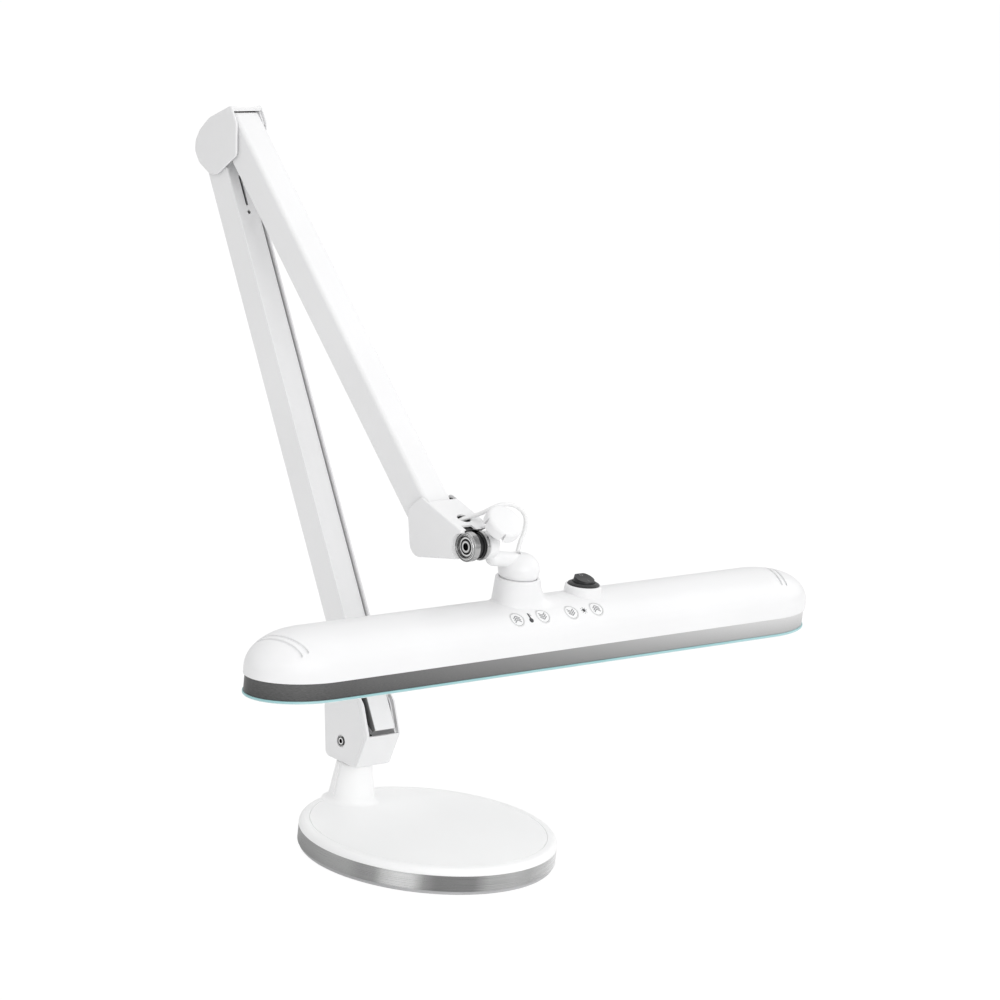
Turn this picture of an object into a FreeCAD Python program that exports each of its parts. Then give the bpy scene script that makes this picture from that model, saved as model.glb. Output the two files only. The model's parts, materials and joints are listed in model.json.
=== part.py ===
import FreeCAD, Part
import math
import os

from FreeCAD import Matrix, Rotation, Vector

# A swing-arm work lamp on a round weighted base, in millimetres.
# +Z is up, +X runs along the long lamp head, -Y is the side the user sits on.
# The origin is the centre of the underside of the base.
# Side outlines are written as (f, z): f is the distance in front of the post axis.

# Base
base_radius = 95.0
pad_height = 2.7
pad_inset = 1.2
band_height = 11.6
band_wall = 0.8
cover_wall = 2.4
cover_edge_radius = 4.6
cover_crown = 0.8
groove_inset = 7.6
groove_width = 1.2
groove_depth = 0.7
weight_height = 9.6
weight_gap = 0.5
base_screw_inset = 29.0
base_screw_radius = 2.0
base_screw_count = 3

# Post that carries the arm, moulded on the base cover near its rim
post_inset = 21.0
post_bearing = 101.2
post_height = 50.3
post_foot_radius = 17.0
post_top_radius = 13.3
post_foot_fillet = 5.0
post_flute_width = 2.6
post_flute_depth = 1.1
post_bore_radius = 9.8
tube_radius = 9.5
tube_bore = 7.0
bush_length = 20.0
bush_flange = 1.0
washer_height = 1.2
swivel_pin_radius = 5.0

# Fits
running_fit = 0.08
seat_gap = 0.3
slip = 0.2

# Arm channels, each an outer steel channel with a second one nested in it
post_distance = base_radius - post_inset
arm_plane_x = post_distance * math.cos(math.radians(post_bearing))
post_y = post_distance * math.sin(math.radians(post_bearing))
channel_half_width = 12.0
channel_depth = 24.4
channel_wall = 1.2
channel_corner = 3.2
pivot_to_web = 4.5
nest_gap = 0.5
inner_depth = 12.5
inner_pivot_to_web = 8.0
pivot_spacing = 10.0
pivot_pin_radius = 2.0
pin_hole_fit = 0.06
channel_end = 6.0
lower_length = 430.0
lower_lean = 31.4
lower_middle_lean = 17.5
lower_half_range = 27.5
upper_length = 360.0
upper_angle = 47.4
upper_middle_angle = 66.5
upper_half_range = 33.5
inner_tail = 24.0
spring_wire = 1.0
spring_radius = 4.2
spring_length = 84.0
anchor_pin_radius = 1.5
anchor_ear = 5.0
anchor_width = 7.0
cable_slot_length = 22.0
cable_slot_width = 2.4
cable_slot_drop = 20.6
cable_hole_drop = 6.5
cable_exit_radius = 1.5

# Bracket on the post
bracket_half_width = 16.0
bracket_wall = 2.0
bracket_panel = 0.4
bracket_panel_inset = 3.2
bracket_edge = 1.2
front_plate_top = 18.2
plate_thickness = 1.5
bracket_screw_radius = 3.4
lower_pivot_f = 2.0
lower_pivot_z = 96.5

# Elbow and head bracket
elbow_half_width = 15.0
elbow_wall = 1.4
elbow_edge = 1.2
elbow_waist = 1.8
elbow_margin = 2.2
elbow_plate = 1.2
elbow_span_f = 28.2
elbow_span_z = 32.6
tilt_ahead = 37.3
tilt_below = 10.1
nose_window = 9.9
nose_wall = 2.0
nose_clearance = 0.9
lug_clearance = 1.6
fork_front = 17.0
lid_front = 29.8
lid_back = -3.2
lid_notch = (-9.8, -0.4)
lid_rear = (-10.2, 15.4)
lid_nose = (36.0, 1.7)
cable_hole_radius = 5.2
cable_hole_f = 20.2

# Friction knuckle, swivel elbow and its knob
barrel_radius = 10.8
barrel_front = -11.0
barrel_back = 5.0
tongue_low = -3.0
tongue_high = -0.4
ring_thickness = 1.7
ring_radius = 9.5
spigot_radius = 6.0
spigot_length = 7.2
spigot_groove = 0.8
lug_radius = 10.0
lug_low = 5.3
lug_high = 14.5
bolt_radius = 3.0
knob_lean = 38.0
knob_radius = 14.0
knob_inner = 19.0
knob_height = 11.0
knob_lobes = 5
knob_first_bite = 22.0
knob_bite_radius = 2.3
knob_bite_depth = 3.2
knob_dome_radius = 60.0
knob_face_edge = 3.0
knob_back_edge = 1.6
swivel_offset = 43.5
ball_radius = 15.3
ball_height = 18.2
ball_foot = 12.8
collar_drop = 28.0
neck_arm_radius = 5.6
neck_arm_drop = 10.8
neck_arm_start = 17.5
neck_arm_fall = 4.0
swivel_tube_radius = 6.0
swivel_tube_bore = 4.0
cord_radius = 1.6

# Lamp head
head_centre_x = 71.9
head_half_length = 268.5
head_half_width = 32.0
head_end_length = 53.0
shell_height = 30.7
crown_radius = 45.0
shoulder_radius = 24.0
shell_wall = 2.0
boss_height = 17.5
boss_top_radius = 16.4
boss_foot_radius = 21.8
boss_foot_shift = 7.0
boss_blend = 4.5
boss_recess_radius = 14.0
boss_recess = 1.8
frame_height = 12.6
frame_inset = 1.3
frame_wall = 1.6
diffuser_height = 2.2
diffuser_inset = 0.5
ledge_width = 3.0
heat_plate_thickness = 1.5
board_thickness = 1.6
led_pitch = 15.0
led_rows = 2
rocker_x = 109.7
bezel_radius = 12.0
rocker_boss_radius = 13.6
rocker_boss_height = 5.5
rocker_cap_radius = 8.1
rocker_back = 5.5
rocker_middle = 2.9
rocker_front = 1.4
rocker_taper = 1.6
button_radius = 6.0
button_gap = 0.2
button_offset = 22.4
button_depth = 3.4
button_places = (26.0, 50.8, 78.7, 103.4)
vents_left = (243.2, 248.4)
vents_right = (230.6, 235.8)
vent_width = 2.3
vent_reach = 17.8
vent_shift = 5.0
vent_slant = 18.0
vent_depth = 1.3
screw_places = (-200.0, -80.0, 200.0)
screw_edge = 9.0
boss_radius = 3.4
board_drop = 9.0
board_width = 14.0
driver_length = 96.0
driver_width = 34.0
driver_height = 16.0
driver_end_gap = 49.5

X_AXIS = Vector(1, 0, 0)
Z_AXIS = Vector(0, 0, 1)


def at(x, f, z):
    """Point x to the right of the arm plane and f in front of the post axis."""
    return Vector(arm_plane_x + x, post_y - f, z)


def along(start, length, angle):
    """Point reached from start (f, z), going up and back at angle from vertical."""
    rad = math.radians(angle)
    return (start[0] - length * math.sin(rad), start[1] + length * math.cos(rad))


def forward(start, length, angle):
    """Point reached from start (f, z), forward and up at angle from horizontal."""
    rad = math.radians(angle)
    return (start[0] + length * math.cos(rad), start[1] + length * math.sin(rad))


def save(name, shape):
    """Write one named sub-part."""
    shape.exportStep("parts/%s.step" % name)


def corner(before, point, after, radius):
    """Two tangent points and the middle of the arc that rounds one corner."""
    a = before.sub(point)
    b = after.sub(point)
    half = a.getAngle(b) / 2.0
    room = 0.48 * min(a.Length, b.Length) * math.tan(half)
    r = min(radius, room)
    reach = r / math.tan(half)
    start = point.add(Vector(a).normalize().multiply(reach))
    end = point.add(Vector(b).normalize().multiply(reach))
    centre = point.add(Vector(a).normalize().add(Vector(b).normalize()).normalize()
                       .multiply(r / math.sin(half)))
    middle = centre.add(point.sub(centre).normalize().multiply(r))
    return start, middle, end


def rounded(points, radius):
    """Closed wire through points, each corner rounded by radius (one or a list)."""
    count = len(points)
    radii = radius if isinstance(radius, (list, tuple)) else [radius] * count
    corners = []
    for i in range(count):
        if radii[i] > 0:
            corners.append(corner(points[i - 1], points[i], points[(i + 1) % count], radii[i]))
        else:
            corners.append((points[i], None, points[i]))
    edges = []
    for i in range(count):
        start, middle, end = corners[i]
        if middle is not None:
            edges.append(Part.Arc(start, middle, end).toShape())
        following = corners[(i + 1) % count][0]
        if end.distanceToPoint(following) > 1e-6:
            edges.append(Part.makeLine(end, following))
    return Part.Wire(edges)


def side_prism(outline, radius, x0, x1):
    """Prism across the arm plane with a rounded (f, z) outline."""
    wire = rounded([at(x0, f, z) for f, z in outline], radius)
    return Part.Face(wire).extrude(Vector(x1 - x0, 0, 0))


def shrunk(outline, radius, inset, x0, x1):
    """The same prism with its outline drawn in by inset."""
    wire = rounded([at(x0, f, z) for f, z in outline], radius)
    smaller = wire.makeOffset2D(-inset)
    return Part.Face(smaller).extrude(Vector(x1 - x0, 0, 0))


def face_edges(shape, half):
    """Edges of the two flat faces of a prism that spans -half to half."""
    found = []
    for edge in shape.Edges:
        box = edge.BoundBox
        if box.XLength < 0.001 and abs(abs(box.Center.x - arm_plane_x) - half) < 0.001:
            found.append(edge)
    return found


def moved(outline, origin):
    """Outline given relative to a pivot, moved to that pivot."""
    return [(origin[0] + f, origin[1] + z) for f, z in outline]


def cross_pin(centre, radius, x0, x1):
    """Cylinder across the arm plane."""
    return Part.makeCylinder(radius, x1 - x0, at(x0, centre[0], centre[1]), X_AXIS)


def rod(centre, radius, z0, z1):
    """Upright cylinder at centre (x, f)."""
    return Part.makeCylinder(radius, z1 - z0, at(centre[0], centre[1], z0), Z_AXIS)


def turned(points, axis_point, direction=Z_AXIS):
    """Solid of revolution from (radius, height) points about an upright axis."""
    wire = Part.makePolygon([Vector(r, 0, h) for r, h in points + points[:1]])
    return place_turned(wire, axis_point, direction)


def place_turned(wire, axis_point, direction):
    """Revolve a wire drawn in the XZ plane and stand it on axis_point."""
    solid = Part.Face(wire).revolve(Vector(0, 0, 0), Z_AXIS, 360)
    solid.Placement = FreeCAD.Placement(axis_point, Rotation(Z_AXIS, direction))
    return solid


def hexagon(across_flats, height, base, direction=Z_AXIS):
    """Hexagonal prism such as a nut."""
    size = across_flats / math.sqrt(3.0)
    points = []
    for i in range(7):
        turn = math.radians(60 * i)
        points.append(Vector(size * math.cos(turn), size * math.sin(turn), 0))
    prism = Part.Face(Part.makePolygon(points)).extrude(Vector(0, 0, height))
    prism.Placement = FreeCAD.Placement(base, Rotation(Z_AXIS, direction))
    return prism


# Heights and pivots that follow from the sizes above
band_top = pad_height + band_height
cover_top = band_top + 0.7 + cover_edge_radius
skirt_radius = base_radius - band_wall - 0.1
bracket_foot = post_height + seat_gap + washer_height
lower_pivot = (lower_pivot_f, lower_pivot_z)
lower_inner_pivot = forward(lower_pivot, pivot_spacing, lower_middle_lean)
elbow_lower = along(lower_pivot, lower_length, lower_lean)
elbow_lower_inner = forward(elbow_lower, pivot_spacing, lower_middle_lean)
elbow_upper = (elbow_lower[0] + elbow_span_f, elbow_lower[1] + elbow_span_z)
upper_lean = upper_angle - 180.0
upper_middle_lean = upper_middle_angle - 180.0
elbow_upper_inner = forward(elbow_upper, pivot_spacing, upper_middle_lean)
head_pivot = along(elbow_upper, upper_length, upper_lean)
head_inner_pivot = forward(head_pivot, pivot_spacing, upper_middle_lean)
tilt_axis = (head_pivot[0] + tilt_ahead, head_pivot[1] - tilt_below)
collar_z = tilt_axis[1] - collar_drop
crown_z = collar_z + 0.9 - boss_height
rim_z = crown_z - shell_height
head_f = tilt_axis[0]
frame_bottom = rim_z - frame_height
ledge_top = rim_z - 1.0
print("lower pivot", lower_pivot, "elbow", elbow_lower, elbow_upper)
print("head pivot", head_pivot, "tilt axis", tilt_axis, "crown", crown_z, "rim", rim_z)


def base_cover():
    """Domed cover with the rim groove and the fluted post moulded on it."""
    edge_z = cover_top - cover_edge_radius
    edge_r = base_radius - cover_edge_radius
    bend = math.sqrt(0.5) * cover_edge_radius
    under = cover_top - cover_wall
    skirt_in = skirt_radius - cover_wall
    edges = [
        Part.makeLine(Vector(skirt_in, 0, pad_height), Vector(skirt_radius, 0, pad_height)),
        Part.makeLine(Vector(skirt_radius, 0, pad_height), Vector(skirt_radius, 0, band_top)),
        Part.makeLine(Vector(skirt_radius, 0, band_top), Vector(base_radius, 0, band_top)),
        Part.makeLine(Vector(base_radius, 0, band_top), Vector(base_radius, 0, edge_z)),
        Part.Arc(Vector(base_radius, 0, edge_z), Vector(edge_r + bend, 0, edge_z + bend),
                 Vector(edge_r, 0, cover_top)).toShape(),
        Part.makeLine(Vector(edge_r, 0, cover_top), Vector(0, 0, cover_top + cover_crown)),
        Part.makeLine(Vector(0, 0, cover_top + cover_crown), Vector(0, 0, under)),
        Part.makeLine(Vector(0, 0, under), Vector(skirt_in, 0, under)),
        Part.makeLine(Vector(skirt_in, 0, under), Vector(skirt_in, 0, pad_height)),
    ]
    body = place_turned(Part.Wire(edges), Vector(0, 0, 0), Z_AXIS)
    groove_r = base_radius - groove_inset
    groove = place_turned(Part.makePolygon([
        Vector(groove_r - groove_width / 2, 0, cover_top + 1),
        Vector(groove_r + groove_width / 2, 0, cover_top + 1),
        Vector(groove_r, 0, cover_top - groove_depth),
        Vector(groove_r - groove_width / 2, 0, cover_top + 1)]), Vector(0, 0, 0), Z_AXIS)
    body = body.cut(groove)
    body = body.fuse(post_column())
    for spot in base_screw_spots():
        boss = Part.makeCylinder(4.2, under - weight_top() + 1.0,
                                 Vector(spot.x, spot.y, weight_top() + slip), Z_AXIS)
        body = body.fuse(boss)
    post_point = Vector(arm_plane_x, post_y, 0)
    body = body.cut(Part.makeCylinder(post_bore_radius, post_height + 1, post_point, Z_AXIS))
    for spot in base_screw_spots():
        body = body.cut(Part.makeCylinder(base_screw_radius + running_fit, weight_height + 4.0,
                                          Vector(spot.x, spot.y, pad_height), Z_AXIS))
    return body.removeSplitter()


def post_column():
    """Tapered column with a flared foot, a rounded lip and two upright flutes."""
    foot = cover_top + 0.2
    r0 = post_foot_radius
    fil = post_foot_fillet
    bend = fil * (1 - math.sqrt(0.5))
    lip = 1.2
    edges = [
        Part.makeLine(Vector(0, 0, foot - 1.2), Vector(r0 + fil, 0, foot - 1.2)),
        Part.makeLine(Vector(r0 + fil, 0, foot - 1.2), Vector(r0 + fil, 0, foot)),
        Part.Arc(Vector(r0 + fil, 0, foot), Vector(r0 + bend, 0, foot + bend),
                 Vector(r0, 0, foot + fil)).toShape(),
        Part.makeLine(Vector(r0, 0, foot + fil), Vector(post_top_radius, 0, post_height - lip)),
        Part.makeLine(Vector(post_top_radius, 0, post_height - lip),
                      Vector(post_top_radius - lip, 0, post_height)),
        Part.makeLine(Vector(post_top_radius - lip, 0, post_height), Vector(0, 0, post_height)),
        Part.makeLine(Vector(0, 0, post_height), Vector(0, 0, foot - 1.2)),
    ]
    column = place_turned(Part.Wire(edges), Vector(arm_plane_x, post_y, 0), Z_AXIS)
    slope = math.degrees(math.atan((r0 - post_top_radius) / (post_height - foot - fil)))
    for side in (-1, 1):
        low = foot + fil + 1.0
        flute = Part.makeBox(20, post_flute_width, post_height,
                             Vector(0, -post_flute_width / 2, 0))
        flute = flute.fuse(Part.makeCylinder(post_flute_width / 2, 20, Vector(0, 0, 0), X_AXIS))
        flute.Placement = FreeCAD.Placement(Vector(r0 - post_flute_depth, 0, low),
                                            Rotation(Vector(0, 1, 0), -slope))
        turn = Rotation(Z_AXIS, 0 if side > 0 else 180)
        flute.Placement = FreeCAD.Placement(Vector(arm_plane_x, post_y, 0),
                                            turn).multiply(flute.Placement)
        column = column.cut(flute)
    return column


def weight_top():
    return pad_height + seat_gap + weight_height


def base_screw_spots():
    """Screw places on a circle, the first one opposite the post."""
    spots = []
    for i in range(base_screw_count):
        turn = math.radians(post_bearing + 180 + 360.0 * i / base_screw_count)
        circle = base_radius - base_screw_inset
        spots.append(Vector(circle * math.cos(turn), circle * math.sin(turn), 0))
    return spots


def base_parts():
    """Pad, steel band, cast weight, screws, post tube and its bush."""
    pad = Part.makeCylinder(base_radius - pad_inset, pad_height)
    pad = pad.makeChamfer(0.6, [pad.Edges[2]])
    save("base_pad", pad)
    ring = Part.makeCylinder(base_radius, band_height, Vector(0, 0, pad_height))
    hole = Part.makeCylinder(base_radius - band_wall, band_height + 2, Vector(0, 0, pad_height - 1))
    save("base_trim_band", ring.cut(hole))
    low = pad_height + seat_gap
    weight_r = skirt_radius - cover_wall - weight_gap
    weight = Part.makeCylinder(weight_r, weight_height, Vector(0, 0, low))
    weight = weight.makeChamfer(1.5, [weight.Edges[0], weight.Edges[2]])
    post_point = Vector(arm_plane_x, post_y, 0)
    socket = Part.makeCylinder(tube_radius + running_fit, weight_height,
                               post_point.add(Vector(0, 0, low + 3.0)))
    weight = weight.cut(socket)
    screws = []
    for spot in base_screw_spots():
        point = Vector(spot.x, spot.y, low)
        head = Part.makeCone(base_screw_radius * 2, base_screw_radius, 2.4, point)
        shank = Part.makeCylinder(base_screw_radius, weight_height + 3.0, point)
        screws.append(head.fuse(shank).removeSplitter())
        weight = weight.cut(Part.makeCone(base_screw_radius * 2 + slip, base_screw_radius + slip,
                                          2.4, point))
        weight = weight.cut(Part.makeCylinder(base_screw_radius + slip, weight_height + 1, point))
    save("base_weight", weight)
    save("base_screws", Part.makeCompound(screws))
    tube_low = low + 3.0
    tube_high = post_height - bush_flange - 0.4
    tube = Part.makeCylinder(tube_radius, tube_high - tube_low, post_point.add(Vector(0, 0, tube_low)))
    tube = tube.cut(Part.makeCylinder(tube_bore, tube_high, post_point.add(Vector(0, 0, tube_low + 2))))
    save("post_tube", tube)
    bore = swivel_pin_radius + running_fit
    bush_low = tube_high - bush_length
    bush_out = tube_bore - running_fit
    flange_r = tube_radius - 0.1
    save("post_bush", turned([(bore, bush_low), (bush_out, bush_low), (bush_out, tube_high),
                              (flange_r, tube_high), (flange_r, tube_high + bush_flange),
                              (bore, tube_high + bush_flange)], post_point))
    return bush_low, tube_high


def u_section(half_width, wall, radius, f0, f1, z0, z1):
    """Open-topped U running front to back: two cheeks and a floor."""
    outer = rounded([at(-half_width, f0, z1), at(-half_width, f0, z0),
                     at(half_width, f0, z0), at(half_width, f0, z1)], [0, radius, radius, 0])
    inner_r = max(radius - wall, 0.4)
    w = half_width - wall
    inner = rounded([at(-w, f0, z1 + 1), at(-w, f0, z0 + wall),
                     at(w, f0, z0 + wall), at(w, f0, z1 + 1)], [0, inner_r, inner_r, 0])
    length = Vector(0, -(f1 - f0), 0)
    return Part.Face(outer).extrude(length).cut(Part.Face(inner).extrude(length))


def bracket_outline():
    """Six-sided cheek with a flat foot and a rounded top, around the lower pivots."""
    foot = bracket_foot - lower_pivot[1]
    return moved([(-14.3, foot), (19.0, foot), (28.2, -front_plate_top), (18.8, 3.8),
                  (9.0, 13.5), (-3.0, 13.5), (-13.0, 5.5), (-24.4, -6.5), (-18.0, foot + 2.2)],
                 lower_pivot)


bracket_radii = [3.0, 3.5, 3.5, 9.0, 6.0, 5.0, 8.0, 4.0, 4.0]


def bracket_parts(bush_low, tube_high):
    """Turntable on the post: pin, nut, circlip, washer, steel cradle and plastic cover."""
    post_point = Vector(arm_plane_x, post_y, 0)
    floor = bracket_foot + bracket_wall
    collar_r = 9.0
    pin_r = swivel_pin_radius
    clip_z = bush_low - 1.3
    low = clip_z - 2.0
    top = floor + plate_thickness + slip + 7.0
    stud = 4.0
    save("swivel_pin", turned([
        (0, low), (pin_r - 0.6, low), (pin_r, low + 0.6), (pin_r, clip_z), (pin_r - 0.7, clip_z),
        (pin_r - 0.7, clip_z + 1.0), (pin_r, clip_z + 1.0), (pin_r, bracket_foot),
        (collar_r, bracket_foot), (collar_r, floor + slip), (stud, floor + slip), (stud, top),
        (0, top)], post_point))
    clip = turned([(pin_r - 0.6, clip_z + 0.05), (pin_r + 1.6, clip_z + 0.05),
                   (pin_r + 1.6, clip_z + 0.95), (pin_r - 0.6, clip_z + 0.95)], post_point)
    gap = Part.makeBox(4, 3, 3, post_point.add(Vector(pin_r - 2.0, -1.5, clip_z - 1)))
    save("pin_circlip", clip.cut(gap))
    washer_low = post_height + seat_gap
    washer = Part.makeCylinder(12.4, washer_height, post_point.add(Vector(0, 0, washer_low)))
    hole = Part.makeCylinder(pin_r + 0.2, 9, post_point.add(Vector(0, 0, washer_low - 1)))
    save("thrust_washer", washer.cut(hole))
    cradle_floor = floor + slip
    plate_in = channel_half_width + slip
    half = plate_in + plate_thickness
    outline = bracket_outline()
    cradle = u_section(half, plate_thickness, 2.4, lower_pivot[0] - 30, lower_pivot[0] + 34,
                       cradle_floor, lower_pivot[1] + 30)
    cradle = cradle.common(shrunk(outline, bracket_radii, bracket_wall + 0.4, -half, half))
    cradle = cradle.cut(Part.makeCylinder(stud + 0.1, 9, post_point.add(Vector(0, 0, floor - 1))))
    for pivot in (lower_pivot, lower_inner_pivot):
        cradle = cradle.cut(cross_pin(pivot, pivot_pin_radius + pin_hole_fit, -half - 1, half + 1))
    screw_spot = (lower_pivot[0] - 0.7, lower_pivot[1] - 29.0)
    cradle = cradle.cut(cross_pin(screw_spot, 1.6, -half - 1, half + 1))
    save("bracket_cradle", cradle)
    nut = hexagon(13.0, 5.0, post_point.add(Vector(0, 0, cradle_floor + plate_thickness)))
    save("pin_nut", nut.cut(Part.makeCylinder(stud + running_fit, 9,
                                              post_point.add(Vector(0, 0, floor)))))

    h = bracket_half_width
    inside = h - bracket_wall
    cover = side_prism(outline, bracket_radii, -h, h)
    cover = cover.makeFillet(bracket_edge, face_edges(cover, h))
    cover = cover.cut(shrunk(outline, bracket_radii, bracket_wall, -inside, inside))
    plate_top = lower_pivot[1] - front_plate_top
    cover = cover.cut(Part.makeBox(2 * inside, 80, 60, at(-inside, lower_pivot[0] + 40, plate_top)))
    for side in (-1, 1):
        x0 = side * bracket_half_width
        panel = shrunk(outline, bracket_radii, bracket_panel_inset,
                       min(x0, x0 + side * bracket_panel), max(x0, x0 + side * bracket_panel))
        cover = cover.fuse(panel)
        face = side * (bracket_half_width + bracket_panel)
        recess = cross_pin(screw_spot, bracket_screw_radius + 1.2,
                           min(face, face - side * 1.3), max(face, face - side * 1.3))
        cover = cover.cut(recess)
    cover = cover.cut(cross_pin(screw_spot, 1.7, -30, 30))
    cover = cover.cut(Part.makeCylinder(collar_r + seat_gap, 9, post_point.add(
        Vector(0, 0, bracket_foot - 3))))
    save("bracket_cover", cover.removeSplitter())
    screws = []
    for side in (-1, 1):
        seat = side * (bracket_half_width + bracket_panel - 1.3)
        inner = side * (plate_in + 0.3)
        head = Part.makeCylinder(bracket_screw_radius, 1.4, at(seat, *screw_spot),
                                 Vector(side, 0, 0))
        head = head.cut(Part.makeCylinder(1.4, 1.0, at(seat + side * 0.7, *screw_spot),
                                          Vector(side, 0, 0)))
        shank = cross_pin(screw_spot, 1.5, min(seat, inner), max(seat, inner))
        screws.append(head.fuse(shank).removeSplitter())
    save("bracket_screws", Part.makeCompound(screws))


def outer_channel(length):
    """Outer arm channel, upright from the origin pivot, open towards -Y."""
    web = pivot_to_web
    lip = pivot_to_web - channel_depth
    w = channel_half_width
    low = -channel_end - 2
    outer = rounded([Vector(-w, lip, low), Vector(-w, web, low), Vector(w, web, low),
                     Vector(w, lip, low)], [0, channel_corner, channel_corner, 0])
    i = w - channel_wall
    r = channel_corner - channel_wall
    inner = rounded([Vector(-i, lip - 1, low), Vector(-i, web - channel_wall, low),
                     Vector(i, web - channel_wall, low), Vector(i, lip - 1, low)], [0, r, r, 0])
    rise = Vector(0, 0, length + 2 * channel_end + 4)
    bar = Part.Face(outer).extrude(rise).cut(Part.Face(inner).extrude(rise))
    cheek = pivot_to_web + 0.6 - pivot_spacing
    clear = pivot_spacing * 0.55 + pivot_pin_radius + 2.0
    ends = [(web, -channel_end + 2.2), (0.0, -channel_end), (cheek, -channel_end + 1.6),
            (cheek, clear), (lip, clear + 6.0), (lip, length - clear - 6.0),
            (cheek, length - clear), (cheek, length + channel_end - 1.6),
            (0.0, length + channel_end), (web, length + channel_end - 2.2)]
    profile = rounded([Vector(-w - 1, y, z) for y, z in ends],
                      [1.5, 5.0, 3.0, 2.0, 3.0, 3.0, 2.0, 3.0, 5.0, 1.5])
    bar = bar.common(Part.Face(profile).extrude(Vector(2 * w + 2, 0, 0)))
    for z in (0.0, length):
        bar = bar.cut(Part.makeCylinder(pivot_pin_radius + pin_hole_fit, 2 * w + 4,
                                        Vector(-w - 2, 0, z), X_AXIS))
    return bar


def inner_channel(length, tail):
    """Nested channel, upright from its own pivot, closed towards -Y."""
    w = channel_half_width - channel_wall - nest_gap
    web = -inner_pivot_to_web
    back = inner_depth - inner_pivot_to_web
    low = -tail - 1
    high = length + channel_end
    outer = rounded([Vector(-w, back, low), Vector(-w, web, low), Vector(w, web, low),
                     Vector(w, back, low)], [0, 1.6, 1.6, 0])
    i = w - channel_wall
    inner = rounded([Vector(-i, back + 1, low), Vector(-i, web + channel_wall, low),
                     Vector(i, web + channel_wall, low), Vector(i, back + 1, low)],
                    [0, 0.5, 0.5, 0])
    rise = Vector(0, 0, high - low)
    bar = Part.Face(outer).extrude(rise).cut(Part.Face(inner).extrude(rise))
    ends = [(web, -tail), (web + 3.0, -tail), (back, -channel_end + 1.0), (back, high - 1.0),
            (web, high - 1.0)]
    profile = rounded([Vector(-w - 1, y, z) for y, z in ends], 0.8)
    bar = bar.common(Part.Face(profile).extrude(Vector(2 * w + 2, 0, 0)))
    for z in (0.0, length):
        bar = bar.cut(Part.makeCylinder(pivot_pin_radius + pin_hole_fit, 2 * w + 4,
                                        Vector(-w - 2, 0, z), X_AXIS))
    return bar


def cable_opening(length):
    """Narrow slot and a round hole through the web of the lower nested channel."""
    high = length - cable_slot_drop
    low = high - cable_slot_length
    r = cable_slot_width / 2
    deep = inner_pivot_to_web + 2
    slot = Part.makeBox(2 * r, deep, high - low, Vector(-r, -deep, low))
    for z in (low, high):
        slot = slot.fuse(Part.makeCylinder(r, deep, Vector(0, -deep, z), Vector(0, 1, 0)))
    hole = Part.makeCylinder(cable_exit_radius, deep, Vector(0, -deep, low - cable_hole_drop),
                             Vector(0, 1, 0))
    return slot.fuse(hole)


def set_arm(shape, pivot, lean):
    """Put an upright arm piece on its pivot, leaning back by lean degrees."""
    shape.Placement = FreeCAD.Placement(at(0, pivot[0], pivot[1]), Rotation(X_AXIS, -lean))
    return shape


def pull_travel(half_range):
    """How far the nested channel slides each way, and how far its pivot line shifts."""
    rad = math.radians(half_range)
    return pivot_spacing * math.sin(rad), pivot_spacing * (1 - math.cos(rad))


def spring_middle(half_range):
    """Height above the nested channel's pivot of the middle of the spring's end loop."""
    slide, shift = pull_travel(half_range)
    coil_top = pivot_pin_radius + 2 * spring_wire + spring_length
    return coil_top + spring_wire + slide + anchor_pin_radius


def spring(half_range):
    """Balance spring, upright: an eye on the pin, the closed coil and a long end loop."""
    slide, shift = pull_travel(half_range)
    bore = pivot_pin_radius + 0.15
    eye = Part.makeTorus(bore + spring_wire, spring_wire, Vector(0, 0, 0), X_AXIS)
    low = bore + spring_wire
    high = pivot_pin_radius + 2 * spring_wire + spring_length
    coil = Part.makeCylinder(spring_radius, high - low, Vector(0, 0, low))
    coil = coil.makeChamfer(1.2, [coil.Edges[0], coil.Edges[2]])
    across = anchor_pin_radius + shift / 2 + seat_gap
    along_arm = anchor_pin_radius + slide + seat_gap
    middle = spring_middle(half_range)
    w = spring_wire
    corners = [(-1, -1), (1, -1), (1, 1), (-1, 1)]
    outer = rounded([Vector(-w, i * (across + 1.6 * w), middle + j * (along_arm + 1.6 * w))
                     for i, j in corners], 3.0)
    inner = rounded([Vector(-w, i * across, middle + j * along_arm) for i, j in corners], 1.6)
    loop = Part.Face(outer).extrude(Vector(2 * w, 0, 0))
    loop = loop.cut(Part.Face(inner).extrude(Vector(2 * w, 0, 0)))
    return coil.fuse(eye).fuse(loop)


def spring_anchor(half_range):
    """Folded tab on the outer channel's web with the pin that the spring pulls on."""
    slide, shift = pull_travel(half_range)
    middle = spring_middle(half_range)
    pin_y = shift / 2 - pivot_spacing
    web = pivot_to_web - channel_wall
    t = channel_wall
    e = anchor_ear + t
    low = pin_y - anchor_pin_radius - 1.2
    half = anchor_width / 2
    block = Part.makeBox(2 * e, web - low, anchor_width, Vector(-e, low, middle - half))
    hollow = Part.makeBox(2 * anchor_ear, web - low, anchor_width,
                          Vector(-anchor_ear, low - t, middle - half))
    pin = Part.makeCylinder(anchor_pin_radius, 2 * e, Vector(-e, pin_y, middle), X_AXIS)
    return block.cut(hollow).fuse(pin).removeSplitter()


def arm(name, length, tail, lean, half_range, pivot, inner_pivot, opening=None):
    """One arm: outer channel, nested channel, spring and the spring's anchor."""
    save(name + "_arm_channel", set_arm(outer_channel(length), pivot, lean))
    nested = inner_channel(length, tail)
    if opening is not None:
        nested = nested.cut(opening)
    save(name + "_inner_channel", set_arm(nested, inner_pivot, lean))
    save(name + "_spring", set_arm(spring(half_range), inner_pivot, lean))
    save(name + "_spring_anchor", set_arm(spring_anchor(half_range), pivot, lean))


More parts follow.
